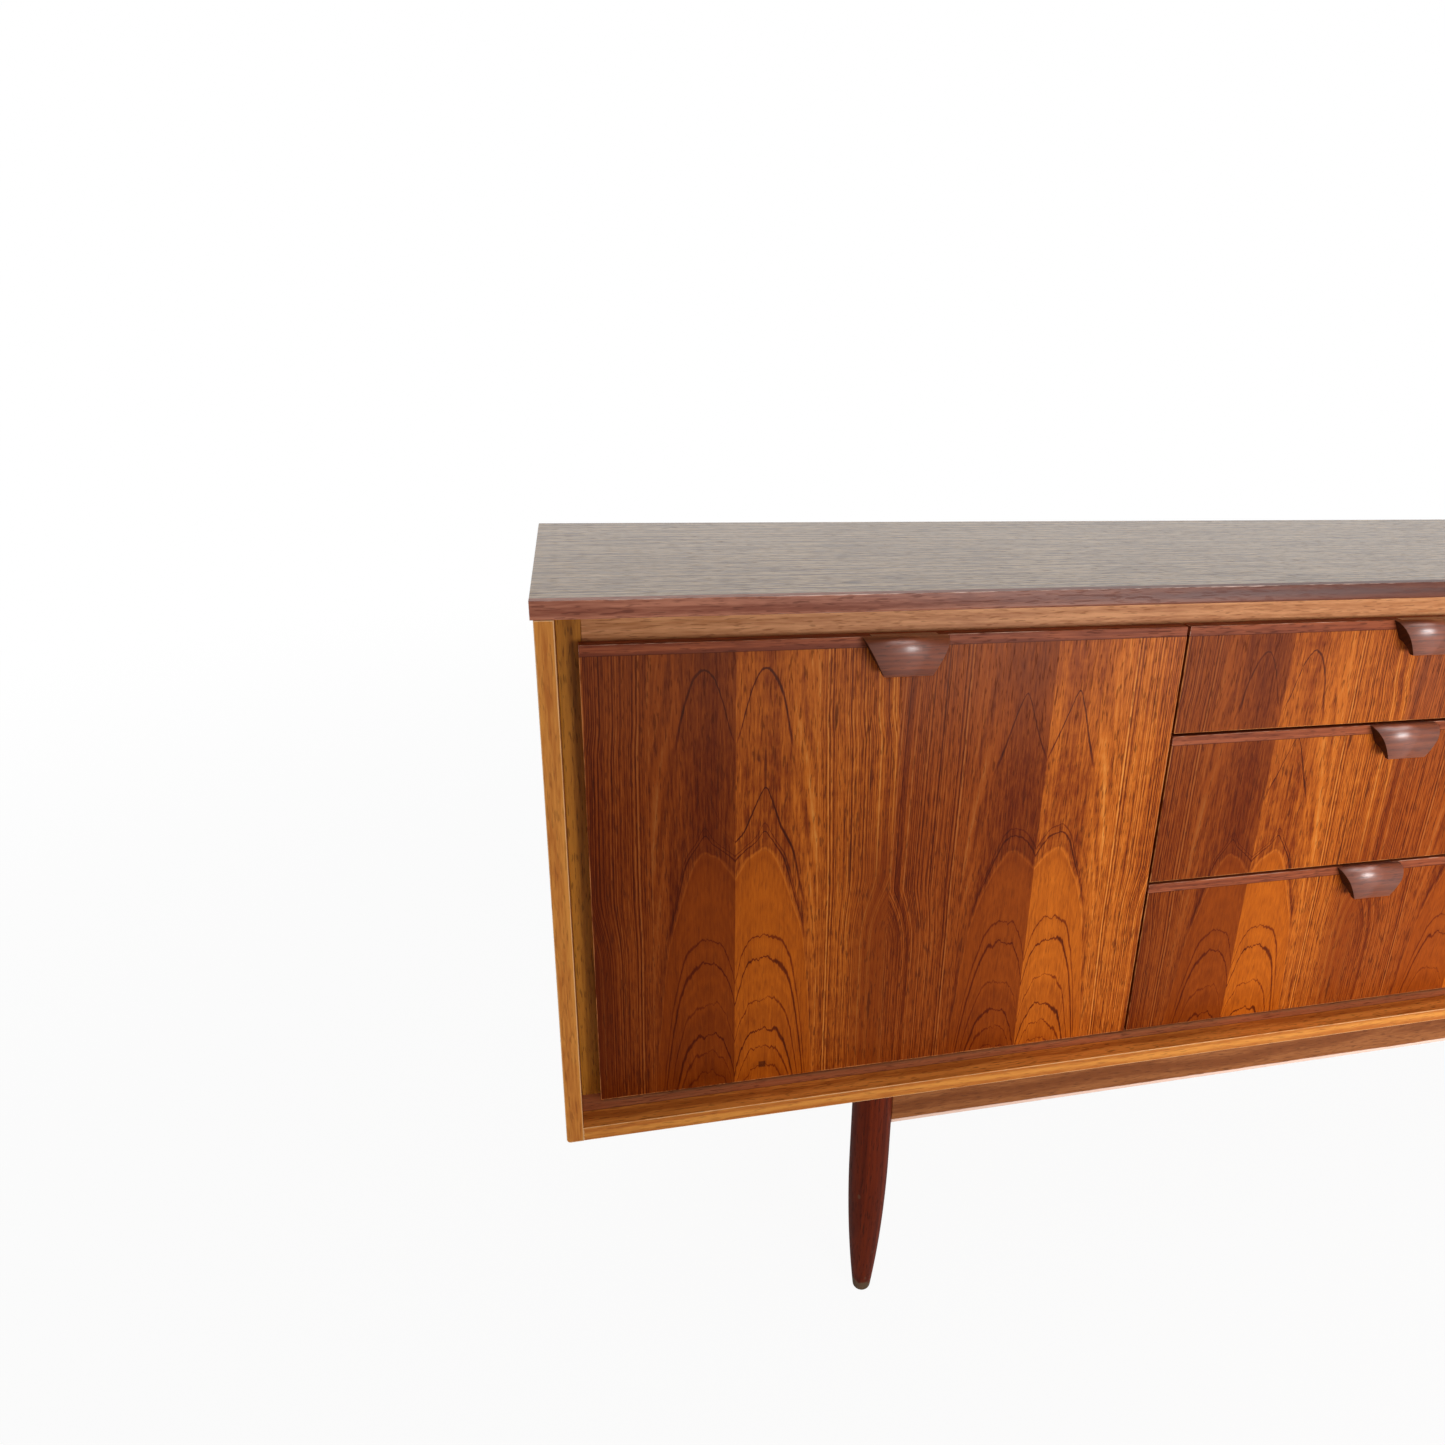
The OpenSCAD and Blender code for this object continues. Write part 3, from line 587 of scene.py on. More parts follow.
@dataclass(frozen=True)
class MatchedVeneer(Timber):
    """Book-matched crown-cut leaves: arches at every other seam, straight grain between them.

    The piece's grain attribute counts across from the middle seam, and along from the floor.

    Attributes:
        line: Colour of the dark lines of late wood.
        pale: Colour of the palest wood.
        dark_leaf_painted_shade: Painted shade: what the dark leaves are multiplied by, since their
            mirrored fibres catch the light less.
        left_painted_shade: Painted shade: what the leaves left of the middle seam are multiplied by, as
            the light is weaker towards the left.
        inner_shade: What the wood inside the lowest arch is multiplied by.
        upper_painted_sheen: Painted reflection: the paler colour laid over the upper part, for the
            sheen of light reflected there.
        leaf: Width of a leaf.
        heart: Distance of the arches' middle line from the seam.
        bow_in: Bow of the arches on the seam's side.
        bow_out: Bow on the far side.
        dome_in: Steeper bow of the low arches on the seam's side.
        dome_out: The same on the far side.
        top_bow: Bow of the highest arches.
        flank: Distance from the middle line at which the grain turns straight.
        flank_slope: How steeply it turns.
        point_slope: Slope of the pointed arches.
        point_round: Rounding of their tips.
        slip: How much lower the right pair of leaves was laid.
        crown: Height of the lowest arch that is drawn as an edge of colour.
        arches: The dark lines.
        lone_arch: The arch that only the left leaves have.
        rounding: Heights between which the arches change from pointed to round.
        flecks: The short streaks.
        knot_height: Height of the pin knot.
        knot_radius: Its radius.
    """

    line: Paint = paint(70, 26, 8)
    pale: Paint = paint(226, 146, 66)
    dark_leaf_painted_shade: Paint = (0.53, 0.42, 0.43, 1.0)
    left_painted_shade: Paint = (0.81, 0.79, 0.77, 1.0)
    inner_shade: Paint = (1.0, 0.86, 0.08, 1.0)
    upper_painted_sheen: Paint = paint(190, 122, 88)
    leaf: float = 0.155
    heart: float = 0.028
    bow_in: float = 38.0
    bow_out: float = 92.0
    dome_in: float = 2500.0
    dome_out: float = 1900.0
    top_bow: float = 112.0
    flank: float = 0.050
    flank_slope: float = 45.0
    point_slope: float = 2.7
    point_round: float = 0.003
    slip: float = 0.026
    crown: float = 0.584
    arches: tuple[Arch, ...] = (
        Arch(0.336, 0.0008, 0.45), Arch(0.360, 0.0008, 0.60), Arch(0.382, 0.0011, 0.85),
        Arch(0.418, 0.0008, 0.55), Arch(0.465, 0.0011, 0.85), Arch(0.491, 0.0009, 0.60),
        Arch(0.604, 0.0009, 0.65), Arch(0.612, 0.0008, 0.40), Arch(0.648, 0.0013, 0.90),
        Arch(0.764, 0.0014, 0.95))
    lone_arch: float = 0.648
    rounding: tuple[float, float] = (0.685, 0.720)
    flecks: tuple[Fleck, ...] = (
        Fleck(0.084, 0.561, 0.0016, 0.030), Fleck(0.066, 0.716, 0.0022, 0.014),
        Fleck(0.101, 0.650, 0.0013, 0.018), Fleck(0.112, 0.395, 0.0018, 0.022),
        Fleck(0.0, 0.670, 0.0011, 0.020))
    knot_height: float = 0.338
    knot_radius: float = 0.0042

    def locate(self, graph: Graph, along: Wire, across: Wire, through: Wire) -> LeafPlace:
        """Lays out the leaves.

        Args:
            graph: The material's graph.
            along: Height on the run of veneer.
            across: Distance from the middle seam.
            through: Depth in the board.

        Returns:
            Where the point lies on its leaf.
        """
        right = across.over(0.0)
        reach = abs(across)
        inner = 1 - reach.over(self.leaf)
        bright = right + inner - right * inner * 2
        slip = self.slip - along.rise(0.55, 0.51) * 0.014 + along.rise(0.60, 0.70) * 0.010
        height = along + right * slip
        sway = graph.noise(height * 2.6, across * 7, 7.0, 1.0) - 0.5
        aside = abs(reach - self.leaf) - self.heart + sway * 0.010
        off = abs(aside)
        outer = aside.over(0.0)
        low = height.rise(0.55, 0.47)
        bow = outer * (self.bow_out - self.bow_in) + self.bow_in
        bowed = off * off * bow
        domed = off ** 3 * (outer * (self.dome_out - self.dome_in) + self.dome_in)
        tip = (off * off + self.point_round ** 2) ** 0.5 - self.point_round
        pointed = tip * (right * 0.4 + outer * 0.5 + self.point_slope)
        rounded = off * off * self.top_bow
        upper = pointed.most(bowed)
        upper = upper + (rounded - upper) * height.rise(*self.rounding) * (1 - right)
        above = (height - right * 0.035).rise(self.crown - 0.010, self.crown + 0.025)
        shape = bowed + (domed - bowed) * low
        shape = shape + (upper - shape) * above
        steep = (off - self.flank).most(0.0) * self.flank_slope
        wobble = graph.noise(height * 16, across * 95, 0.0, 4.0, 0.65) - 0.5
        ring = height + shape + steep + wobble * (low * 0.016 + 0.010)
        steepness = off * bow * 2 + 1
        return LeafPlace(along, across, through, bright, right, off, height, ring, steepness)

    def lines(self, graph: Graph, place: LeafPlace) -> Wire:
        """Dark lines of late wood, as fine on the arches' flanks as on their crowns.

        Args:
            graph: The material's graph.
            place: Where the point lies.

        Returns:
            1 in the middle of the strongest lines, and 0 between them.
        """
        drawn: Wire = place.off * 0
        for arch in self.arches:
            gap = abs(place.ring - arch.height) / place.steepness
            line = gap.rise(arch.half_width, arch.half_width * 0.2) * arch.depth
            if arch.height == self.lone_arch:
                line = line * (1 - place.right) * (place.bright * 0.8 + 0.2)
            drawn = drawn.most(line)
        fading = graph.noise(place.height * 9, place.off * 45, 11.0, 1.0).rise(0.22, 0.50)
        wide = place.off.rise(0.058, 0.034)
        near = place.off.rise(0.030, 0.019)
        middling = place.off.rise(0.042, 0.028)
        above = place.ring.rise(self.crown, self.crown + 0.01)
        reach = wide + (middling - wide) * above
        reach = reach + (near - reach) * place.height.rise(0.60, 0.66)
        return drawn * reach * (fading * 0.6 + 0.4) * (place.bright * 0.25 + 0.75)

    def tone(self, graph: Graph, place: LeafPlace) -> Wire:
        """Adds up the arches, the straight grain beside them and the clouds.

        Args:
            graph: The material's graph.
            place: Where the point lies.

        Returns:
            Lightness of the wood, about 0.5.
        """
        off, height, ring = place.off, place.height, place.ring
        outside = ring.rise(self.crown, self.crown + 0.004)
        narrow = graph.bands(ring * 9.5, 3.0) - 0.5
        broad = graph.bands(ring * 1.9 + 5, 1.0) - 0.5
        streaks = narrow * 1.20 + broad * 0.42
        ripple = graph.noise(height * 75, off * 24, 5.0, 3.0, 0.6) - 0.5
        mottle = graph.noise(height * 70, off * 600, 9.0, 2.0, 0.6) - 0.5
        cloud = graph.noise(height * 5, off * 14, 3.0, 2.0) - 0.5
        from_rim = abs((ring - self.crown - 0.002) / place.steepness)
        rim = from_rim.rise(0.0018, 0.0005) * off.rise(0.060, 0.050)
        inside = graph.bands(ring * 34 + 3, 2.0) - 0.5
        far = ring.rise(self.crown, self.crown + 0.07) * 0.7 + 0.3
        tone = 0.5 - self.lines(graph, place) * 0.48
        tone = tone + streaks * outside * far * off.rise(0.012, 0.05)
        tone = tone + ripple * place.bright * outside * 0.22
        tone = tone + mottle * (outside * 0.25 + 0.30)
        tone = tone + cloud * 0.34 + rim * 0.11
        tone = tone + inside * (1 - outside) * 0.20 + (0.5 - outside) * 0.05
        return tone - outside * off.rise(0.045, 0.01) * 0.07

    def openness(self, graph: Graph, place: LeafPlace) -> Wire:
        """Open pores outside the lowest arch, and fewer inside it."""
        return place.ring.rise(self.crown - 0.002, self.crown + 0.004) * 0.6 + 0.4

    def colour(self, graph: Graph, tone: Wire, place: LeafPlace) -> Wire:
        """Colours the leaves, bright and dark in turn, with painted shade on the dark leaves and on
        those left of the middle seam, a painted sheen on the upper part, and their knot and flecks.

        Args:
            graph: The material's graph.
            tone: Lightness of the wood.
            place: Where the point lies.

        Returns:
            The colour.
        """
        off, height = place.off, place.height
        stops = ((0.0, self.line), (0.30, self.dark), (0.62, self.light), (1.0, self.pale))
        full = graph.node("ShaderNodeValToRGB", {"stops": stops}, {"Fac": tone})
        outer = off.rise(0.070, 0.112) * height.rise(0.68, 0.50) * (1 - place.right)
        full = graph.mix(outer * 0.75, full, self.dark)
        inside = place.ring.rise(self.crown, self.crown - 0.003) * (0.50 - place.right * 0.20)
        full = graph.mix(inside, full, self.inner_shade, "MULTIPLY")
        # Painted shade: the dark leaves are a shaded copy of the bright ones.
        shaded = graph.mix(1.0, full, self.dark_leaf_painted_shade, "MULTIPLY")
        both = graph.mix(place.bright, shaded, full)
        # Painted shade: the leaves left of the middle seam are darkened, as the light falls off towards
        # the left.
        both = graph.mix(1 - place.right, both, self.left_painted_shade, "MULTIPLY")
        # Painted reflection: the upper part is paled towards a sheen colour, for the light reflected
        # there.
        upper_sheen_share = place.along.rise(0.62, 0.84) * (place.right * 0.10 + 0.08)
        both = graph.mix(upper_sheen_share, both, self.upper_painted_sheen)
        from_knot = off.most(abs(height - self.knot_height))
        marks = from_knot.rise(self.knot_radius, self.knot_radius * 0.7)
        for fleck in self.flecks:
            wide = (off - fleck.out) / fleck.half_width
            long = (height - fleck.height) / fleck.half_length
            marks = marks.most((wide * wide + long * long).rise(1.1, 0.3) * 0.8)
        return graph.mix(marks * place.bright * (1 - place.right) * 0.8, both, self.line)


@dataclass(frozen=True)
class Plywood(Finish):
    """Plain rotary-cut plywood."""

    face: Paint
    figure: Paint
    roughness: float = 0.7
    relief: float = 0.0001
    sheen: float = 0.3

    def build(self) -> bpy.types.Material:
        """Builds the plywood's material.

        Returns:
            The new material.
        """
        graph, material = Graph.of_material(self.name)
        along, across, through = graph.split(graph.carried("grain"))
        sway = graph.noise(along * 1.6, across * 5, through * 5, 2.0)
        wave = graph.bands(across * 14 + sway * 5, 2.0)
        fibre = graph.noise(along * 12, across * 380, through * 380, 2.0)
        colour = graph.mix((wave * 0.7 + fibre * 0.4).rise(0.35, 0.80), self.face, self.figure)
        graph.surface({
            "Base Color": colour, "Roughness": fibre * 0.1 + self.roughness,
            "Normal": graph.bump(fibre, self.relief, 0.4), "Specular IOR Level": self.sheen})
        return material


@dataclass(frozen=True)
class Metal(Finish):
    """Plated or lacquered metal with a dull bloom of age."""

    bright: Paint
    dull: Paint
    roughness: float = 0.28
    relief: float = 0.00005

    def build(self) -> bpy.types.Material:
        """Builds the metal's material.

        Returns:
            The new material.
        """
        graph, material = Graph.of_material(self.name)
        x, y, z = graph.cabinet_place()
        bloom = graph.noise(x * 90, y * 90, z * 90, 4.0, 0.6).rise(0.35, 0.70)
        fine = graph.noise(x * 900, y * 900, z * 900, 1.0)
        colour = graph.mix(bloom, self.bright, self.dull)
        graph.surface({
            "Base Color": colour, "Metallic": 1.0, "Roughness": bloom * 0.18 + self.roughness,
            "Normal": graph.bump(fine, self.relief, 0.15)})
        return material


@dataclass(frozen=True)
class Moulding(Finish):
    """Moulded plastic with a fine spark texture."""

    body: Paint
    chalk: Paint
    roughness: float = 0.5
    relief: float = 0.00005

    def build(self) -> bpy.types.Material:
        """Builds the plastic's material.

        Returns:
            The new material.
        """
        graph, material = Graph.of_material(self.name)
        x, y, z = graph.cabinet_place()
        spark = graph.noise(x * 1500, y * 1500, z * 1500, 2.0)
        cloud = graph.noise(x * 40, y * 40, z * 40, 2.0)
        graph.surface({
            "Base Color": graph.mix(cloud * 0.3, self.body, self.chalk),
            "Roughness": spark * 0.2 + self.roughness,
            "Normal": graph.bump(spark, self.relief, 0.3)})
        return material


TOP_VENEER = TableTop("top_veneer", "teak_top", paint(112, 78, 44), paint(188, 150, 102),
                      paint(60, 36, 24), paint(222, 208, 192), ring=0.005, wander=0.04, shortness=3.0,
                      streaks=1.3, wear=0.7, roughness=0.33, sheen=0.40, coat=0.28, fineness=2.2)
FRONT_VENEER = MatchedVeneer("front_veneer", "teak_front", paint(132, 54, 10), paint(198, 104, 28),
                             paint(76, 28, 8), paint(226, 146, 82), streaks=0.42, pores=0.62,
                             wear=0.6, wear_from=0.90, roughness=0.42, sheen=0.07)
DRAWER_ARCHES = FRONT_VENEER.arches[:-2] + (Arch(0.717, 0.0011, 0.75), Arch(0.812, 0.0013, 0.85))
DRAWER_VENEER = replace(FRONT_VENEER, name="drawer_veneer", dark=paint(140, 58, 12),
                        light=paint(210, 112, 32), arches=DRAWER_ARCHES, lone_arch=0.717,
                        rounding=(0.750, 0.780))
SIDE_VENEER = Timber("side_veneer", "teak_carcass", paint(128, 62, 24), paint(184, 100, 42),
                     paint(70, 34, 18), paint(206, 160, 120), ring=0.012, wander=0.05, sheen=0.25)
FLOOR_VENEER = Timber("floor_veneer", "teak_carcass", paint(172, 98, 60), paint(216, 138, 92),
                      paint(96, 50, 34), paint(214, 170, 140), ring=0.012, wander=0.04, sheen=0.3)
LIGHT_LIPPING = Timber("light_lipping", "teak_lipping_light", paint(182, 104, 40), paint(216, 142, 62),
                       paint(112, 58, 22), paint(240, 200, 150), ring=0.009, shortness=3.0, streaks=0.6,
                       pores=0.35, wear=0.6, wear_from=0.80, sheen=0.15)
RAIL_LIPPING = Timber("rail_lipping", "teak_lipping_light", paint(176, 112, 66), paint(212, 150, 100),
                      paint(120, 68, 36), paint(238, 200, 160), ring=0.009, shortness=3.0, streaks=0.6,
                      pores=0.5, wear=0.35, sheen=0.2)
OLIVE_LIPPING = Timber("olive_lipping", "teak_lipping_light", paint(144, 86, 22), paint(194, 126, 42),
                       paint(76, 44, 12), paint(220, 176, 116), ring=0.010, shortness=2.0,
                       streaks=0.5, wear=0.35, sheen=0.15)
# Painted light: the bottom lipping's upper face has a colour of its own, for the light that falls on it
# differently from the front.
LIPPING_TOP_PAINTED_LIGHT = Timber("ledge_lipping", "teak_lipping_light", paint(184, 104, 40), paint(236, 152, 68),
                       paint(92, 50, 14), paint(228, 184, 122), ring=0.006, shortness=2.0,
                       streaks=0.7, wear=0.35, sheen=0.12)
RED_LIPPING = PaintedShadeLipping("red_lipping", "teak_lipping_red", paint(144, 78, 56), paint(190, 122, 94),
                           paint(92, 44, 30), paint(240, 206, 190), ring=0.006, shortness=3.0,
                           streaks=0.6, wear=0.8, wear_from=0.95, roughness=0.40, sheen=0.3)
DOOR_LIPPING = Timber("door_lipping", "teak_lipping_red", paint(116, 52, 28), paint(160, 84, 50),
                      paint(66, 28, 16), paint(232, 184, 160), ring=0.006, shortness=2.0, streaks=0.6,
                      wear=0.8, wear_from=0.95, roughness=0.45, sheen=0.15)
HANDLE_TEAK = Timber("handle_teak", "teak_handle", paint(112, 50, 26), paint(146, 72, 38),
                     paint(70, 30, 16), paint(226, 180, 152), ring=0.004, shortness=2.0, streaks=0.35,
                     wear=0.7, wear_from=0.80, roughness=0.42, sheen=1.0, coat=1.0,
                     coat_roughness=0.34)
# Handles' end faces: darker end grain, and painted shade for the shade that these faces fall in.
HANDLE_END_GRAIN_AND_SHADE = Timber("handle_end_grain", "teak_handle", paint(52, 20, 10), paint(74, 32, 16),
                    paint(36, 14, 8), paint(200, 150, 120), ring=0.004, streaks=0.3,
                    wear=0.7, wear_from=0.80, roughness=0.5, sheen=0.2)
LEG_TEAK = LegTimber("leg_teak", "teak_leg", paint(78, 22, 6), paint(116, 40, 10),
                     paint(44, 14, 6), paint(160, 110, 80), ring=0.007, roughness=0.42, sheen=0.12)
# The rails' arrises wear pale almost all along: partly worn wood, partly a painted highlight along
# their lower arris.
BASE_TEAK = Timber("base_teak", "teak_base", paint(124, 68, 32), paint(158, 98, 54),
                   paint(84, 42, 20), paint(244, 208, 190), ring=0.016, wander=0.05, shortness=4.0,
                   streaks=0.5, wear=0.95, wear_from=0.50, sheen=0.15)
BEECH = Timber("beech_box", "beech", paint(196, 158, 110), paint(222, 188, 140),
               paint(160, 118, 76), paint(230, 206, 168), ring=0.012, pores=0.35,
               roughness=0.55, sheen=0.3)
BACK_PLY = Plywood("back_plywood", "plywood", paint(112, 74, 46), paint(150, 106, 70))
BOX_PLY = Plywood("box_plywood", "plywood", paint(196, 158, 112), paint(222, 190, 146))
BRASS = Metal("aged_brass", "brass", paint(214, 170, 92), paint(150, 112, 58))
STEEL = Metal("plated_steel", "steel", paint(198, 196, 190), paint(140, 136, 128))
CATCH_PLASTIC = Moulding("catch_brown", "catch_plastic", paint(92, 58, 38), paint(190, 170, 140))


class Blank:
    """A piece in the making: a mesh taken from a node of the frame, or built from nothing.

    SHARP and CURVED are the least angles of an arris and of a curve's facets. WELD joins the
    corners of loose triangles, NEAR is as good as touching, and SHORT is the length of the
    shortest arris that is rounded, in widths of the rounding. UNWORN is a place well away from
    the worn band.
    """

    SHARP = math.radians(28)
    CURVED = math.radians(1)
    WELD = 2e-6
    NEAR = 1e-4
    SHORT = 4.0
    OLD_NORMALS = "custom_normal"
    UNWORN = Vector((9.0, 9.0, 9.0))

    def __init__(self) -> None:
        """Starts an empty mesh."""
        self.mesh = bmesh.new()

    @classmethod
    def copy_of(cls, node: str, whole: bool = True) -> "Blank":
        """Copies a node's mesh and welds its loose triangles.

        Args:
            node: Name of the CAD node.
            whole: Whether the triangles of a flat face are joined into one face.

        Returns:
            The blank, with its curved faces marked as smooth.
        """
        blank = cls()
        mesh = blank.mesh
        mesh.from_mesh(frame["nodes"][node].data)
        bmesh.ops.remove_doubles(mesh, verts=mesh.verts, dist=cls.WELD)
        if whole:
            bmesh.ops.dissolve_limit(mesh, angle_limit=cls.CURVED / 2,
                                     verts=mesh.verts, edges=mesh.edges)
        for face in mesh.faces:
            turns = [edge.calc_face_angle(0.0) for edge in face.edges]
            face.smooth = any(cls.CURVED < turn < cls.SHARP for turn in turns)
        for edge in mesh.edges:
            edge.smooth = edge.calc_face_angle(0.0) < cls.SHARP
        return blank

    def ease(self, width: float, joint: Joint | None = None) -> list[int]:
        """Rounds the long arrises.

        Args:
            width: Width of the rounding.
            joint: The glued face, whose edges are left as they are.

        Returns:
            Numbers of the points in the middle of the rounded arrises.
        """
        mesh = self.mesh
        glued: set[bmesh.types.BMVert] = set()
        if joint:
            axis, corner = joint.value
            reach = (min, max)[corner](vert.co[axis] for vert in mesh.verts)
            glued = {vert for vert in mesh.verts if abs(vert.co[axis] - reach) < self.NEAR}
        sharp = [edge for edge in mesh.edges
                 if edge.is_manifold and edge.calc_length() > self.SHORT * width
                 and edge.calc_face_angle(0.0) > self.SHARP and not glued.issuperset(edge.verts)]
        made = bmesh.ops.bevel(mesh, geom=sharp, offset=width, offset_type="OFFSET", segments=2,
                               profile=0.5, affect="EDGES", clamp_overlap=True)
        soft = set(made["faces"])
        mesh.verts.index_update()
        return [vert.index for vert in mesh.verts if all(face in soft for face in vert.link_faces)]

    def solids(self) -> list[list[bmesh.types.BMVert]]:
        """Sorts the vertices by the separate solid that they belong to.

        Returns:
            One list of vertices for each solid.
        """
        seen: set[bmesh.types.BMVert] = set()
        groups = []
        for start in self.mesh.verts:
            if start in seen:
                continue
            seen.add(start)
            group = [start]
            for vert in group:
                for edge in vert.link_edges:
                    other = edge.other_vert(vert)
                    if other not in seen:
                        seen.add(other)
                        group.append(other)
            groups.append(group)
        return groups

    @staticmethod
    def box_of(group: Sequence[bmesh.types.BMVert]) -> tuple[Vector, Vector]:
        """Finds the lowest and the highest corner of a solid."""
        low, high = (Vector([end(vert.co[axis] for vert in group) for axis in range(3)])
                     for end in (min, max))
        return low, high

    def edges(self, worn: float, joint: Joint | None = None,
              rims: Sequence[int] = ()) -> "Blank":
        """Writes how far every point lies from its solid's box and from the glued face.

        Args:
            worn: Width of the worn band along the arrises; 0 for none.
            joint: The glued face, which has a glue line and no wear.
            rims: Numbers of points that are arrises although the solid isn't a box.

        Returns:
            This blank.
        """
        layers = self.mesh.verts.layers
        inner, room = layers.float_vector.new("inner"), layers.float_vector.new("room")
        glued = layers.float.new("glued")
        for group in self.solids():
            low, high = self.box_of(group)
            axis, corner = joint.value if joint else (0, 0)
            face = (low, high)[corner][axis]
            if joint:
                # The box is drawn out past the glued face, so that no wear reaches it.
                (low, high)[corner][axis] += 2 * corner - 1
            for vert in group:
                vert[glued] = abs(vert.co[axis] - face) if joint else 1.0
                vert[inner] = (vert.co - low) / worn if worn > 0 else self.UNWORN
                vert[room] = (high - vert.co) / worn if worn > 0 else self.UNWORN
        self.mesh.verts.ensure_lookup_table()
        for number in rims:
            self.mesh.verts[number][inner] = Vector()
            self.mesh.verts[number][room] = Vector()
        return self

    def grain(self, way: Grain, shift: Sequence[float] = (0.0, 0.0, 0.0)) -> "Blank":
        """Writes where every point lies in the wood.

        Args:
            way: How the fibres run.
            shift: Added to the place along, across and through the wood.

        Returns:
            This blank.
        """
        layer = self.mesh.verts.layers.float_vector.new("grain")
        for vert in self.mesh.verts:
            place = Vector([vert.co[axis] for axis in way.value])
            vert[layer] = place + Vector(shift)
        return self

    def finish(self, name: str) -> bpy.types.Object:
        """Turns the blank into an object at the origin.

        Args:
            name: The piece's name.

        Returns:
            The new object, linked into the scene.
        """
        data = bpy.data.meshes.new(name)
        self.mesh.to_mesh(data)
        self.mesh.free()
        if self.OLD_NORMALS in data.attributes:
            data.attributes.remove(data.attributes[self.OLD_NORMALS])
        made = bpy.data.objects.new(name, data)
        bpy.context.scene.collection.objects.link(made)
        return made


def wood_shift(name: str) -> tuple[float, float, float]:
    """Gives each piece its own place in the log, worked out from its name."""
    count = sum((place + 1) * ord(letter) for place, letter in enumerate(name))
    return ((count % 17) * 0.31, (count % 7) * 0.23, (count % 5) * 0.17)


class SubAssembly:
    """What every sub-assembly does with a finished mesh."""

    def place(self, made: bpy.types.Object, finish: Finish, *nodes: str) -> bpy.types.Object:
        """Gives a piece its finish and its body, and hides the nodes that it stands for.

        Args:
            made: The piece, in place.
            finish: Its finish.
            nodes: The CAD nodes that it replaces, all on one body.

        Returns:
            The piece.
        """
        made.data.materials.clear()
        made.data.materials.append(finish.material())
        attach(made, BODY_OF[nodes[0]])
        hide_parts(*nodes)
        LOG.info("%s: %d faces, on %s", made.name, len(made.data.polygons), BODY_OF[nodes[0]])
        return made

    def second_finish(self, made: bpy.types.Object, finish: Finish,
                      wanted: Callable[[Vector], bool]) -> None:
        """Gives some faces of a piece a finish of their own.

        Args:
            made: The piece.
            finish: The other finish.
            wanted: Says from a face's normal whether it gets that finish.
        """
        made.data.materials.append(finish.material())
        for face in made.data.polygons:
            if wanted(face.normal):
                face.material_index = 1

    def copy(self, node: str, finish: Finish, way: Grain = Grain.ALONG_X, ease: float = 0.0004,
             worn: float = 0.0, joint: Joint | None = None,
             shift: Sequence[float] | None = None) -> bpy.types.Object:
        """Dresses a node as it is, with eased arrises.

        Args:
            node: The CAD node.
            finish: Its finish.
            way: How its fibres run.
            ease: Width of the rounded arrises; 0 leaves them sharp.
            worn: How far wear reaches from them.
            joint: The face that is glued flush to its neighbour, if there is one.
            shift: Place in the wood, or None for the piece's own.

        Returns:
            The piece.
        """
        blank = Blank.copy_of(node, whole=ease > 0)
        if ease > 0:
            blank.ease(ease, joint)
        blank.edges(worn, joint)
        blank.grain(way, wood_shift(node) if shift is None else shift)
        return self.place(blank.finish(f"dressed_{node}"), finish, node)


@dataclass
class Carcass(SubAssembly):
    """Boards, front frame and back of the cabinet."""

    board_ease: float = 0.0006
    lipping_ease: float = 0.0009
    stud_ease: float = 0.0003
    worn_edge: float = 0.0016
    facing_up: float = 0.9

    def build(self) -> None:
        """Builds every board of the carcass."""
        self.copy("top_board", TOP_VENEER, Grain.FLAT_X, self.board_ease, joint=Joint.FRONT)
        self.copy("top_lipping", RED_LIPPING, Grain.ALONG_X, self.lipping_ease,
                  self.worn_edge, Joint.REAR)
        for side in Side:
            self.copy(f"side_{side.value}", SIDE_VENEER, Grain.ALONG_Z, self.board_ease,
                      joint=Joint.FRONT)
            self.copy(f"partition_{side.value}", SIDE_VENEER, Grain.ALONG_Z, self.board_ease)
        self.copy("side_lippings", LIGHT_LIPPING, Grain.ALONG_Z, self.board_ease,
                  self.worn_edge, Joint.REAR)
        self.copy("bottom_board", FLOOR_VENEER, Grain.FLAT_X, self.board_ease, joint=Joint.FRONT)
        self.bottom_lipping()
        self.copy("back_panel", BACK_PLY, Grain.ALONG_X, 0.0)
        self.copy("front_posts", OLIVE_LIPPING, Grain.ALONG_Z, self.board_ease)
        self.copy("top_rail", RAIL_LIPPING, Grain.ALONG_X, self.board_ease)
        self.copy("shelves", SIDE_VENEER, Grain.FLAT_X, self.board_ease)
        self.copy("shelf_studs", BRASS, ease=self.stud_ease)
        self.copy("drawer_runners", BEECH, Grain.ALONG_Y, self.board_ease)

    def bottom_lipping(self) -> None:
        """Builds the bottom lipping; its upper face gets a colour of its own, which paints the light
        that falls on it differently from the front.
        """
        made = self.copy("bottom_lipping", LIGHT_LIPPING, Grain.ALONG_X, self.board_ease,
                         self.worn_edge, Joint.REAR)
        self.second_finish(made, LIPPING_TOP_PAINTED_LIGHT, lambda normal: normal.z > self.facing_up)


SOCKET_OF = {type(None): "NodeSocketGeometry", int: "NodeSocketInt",
             float: "NodeSocketFloat", Vector: "NodeSocketVector"}


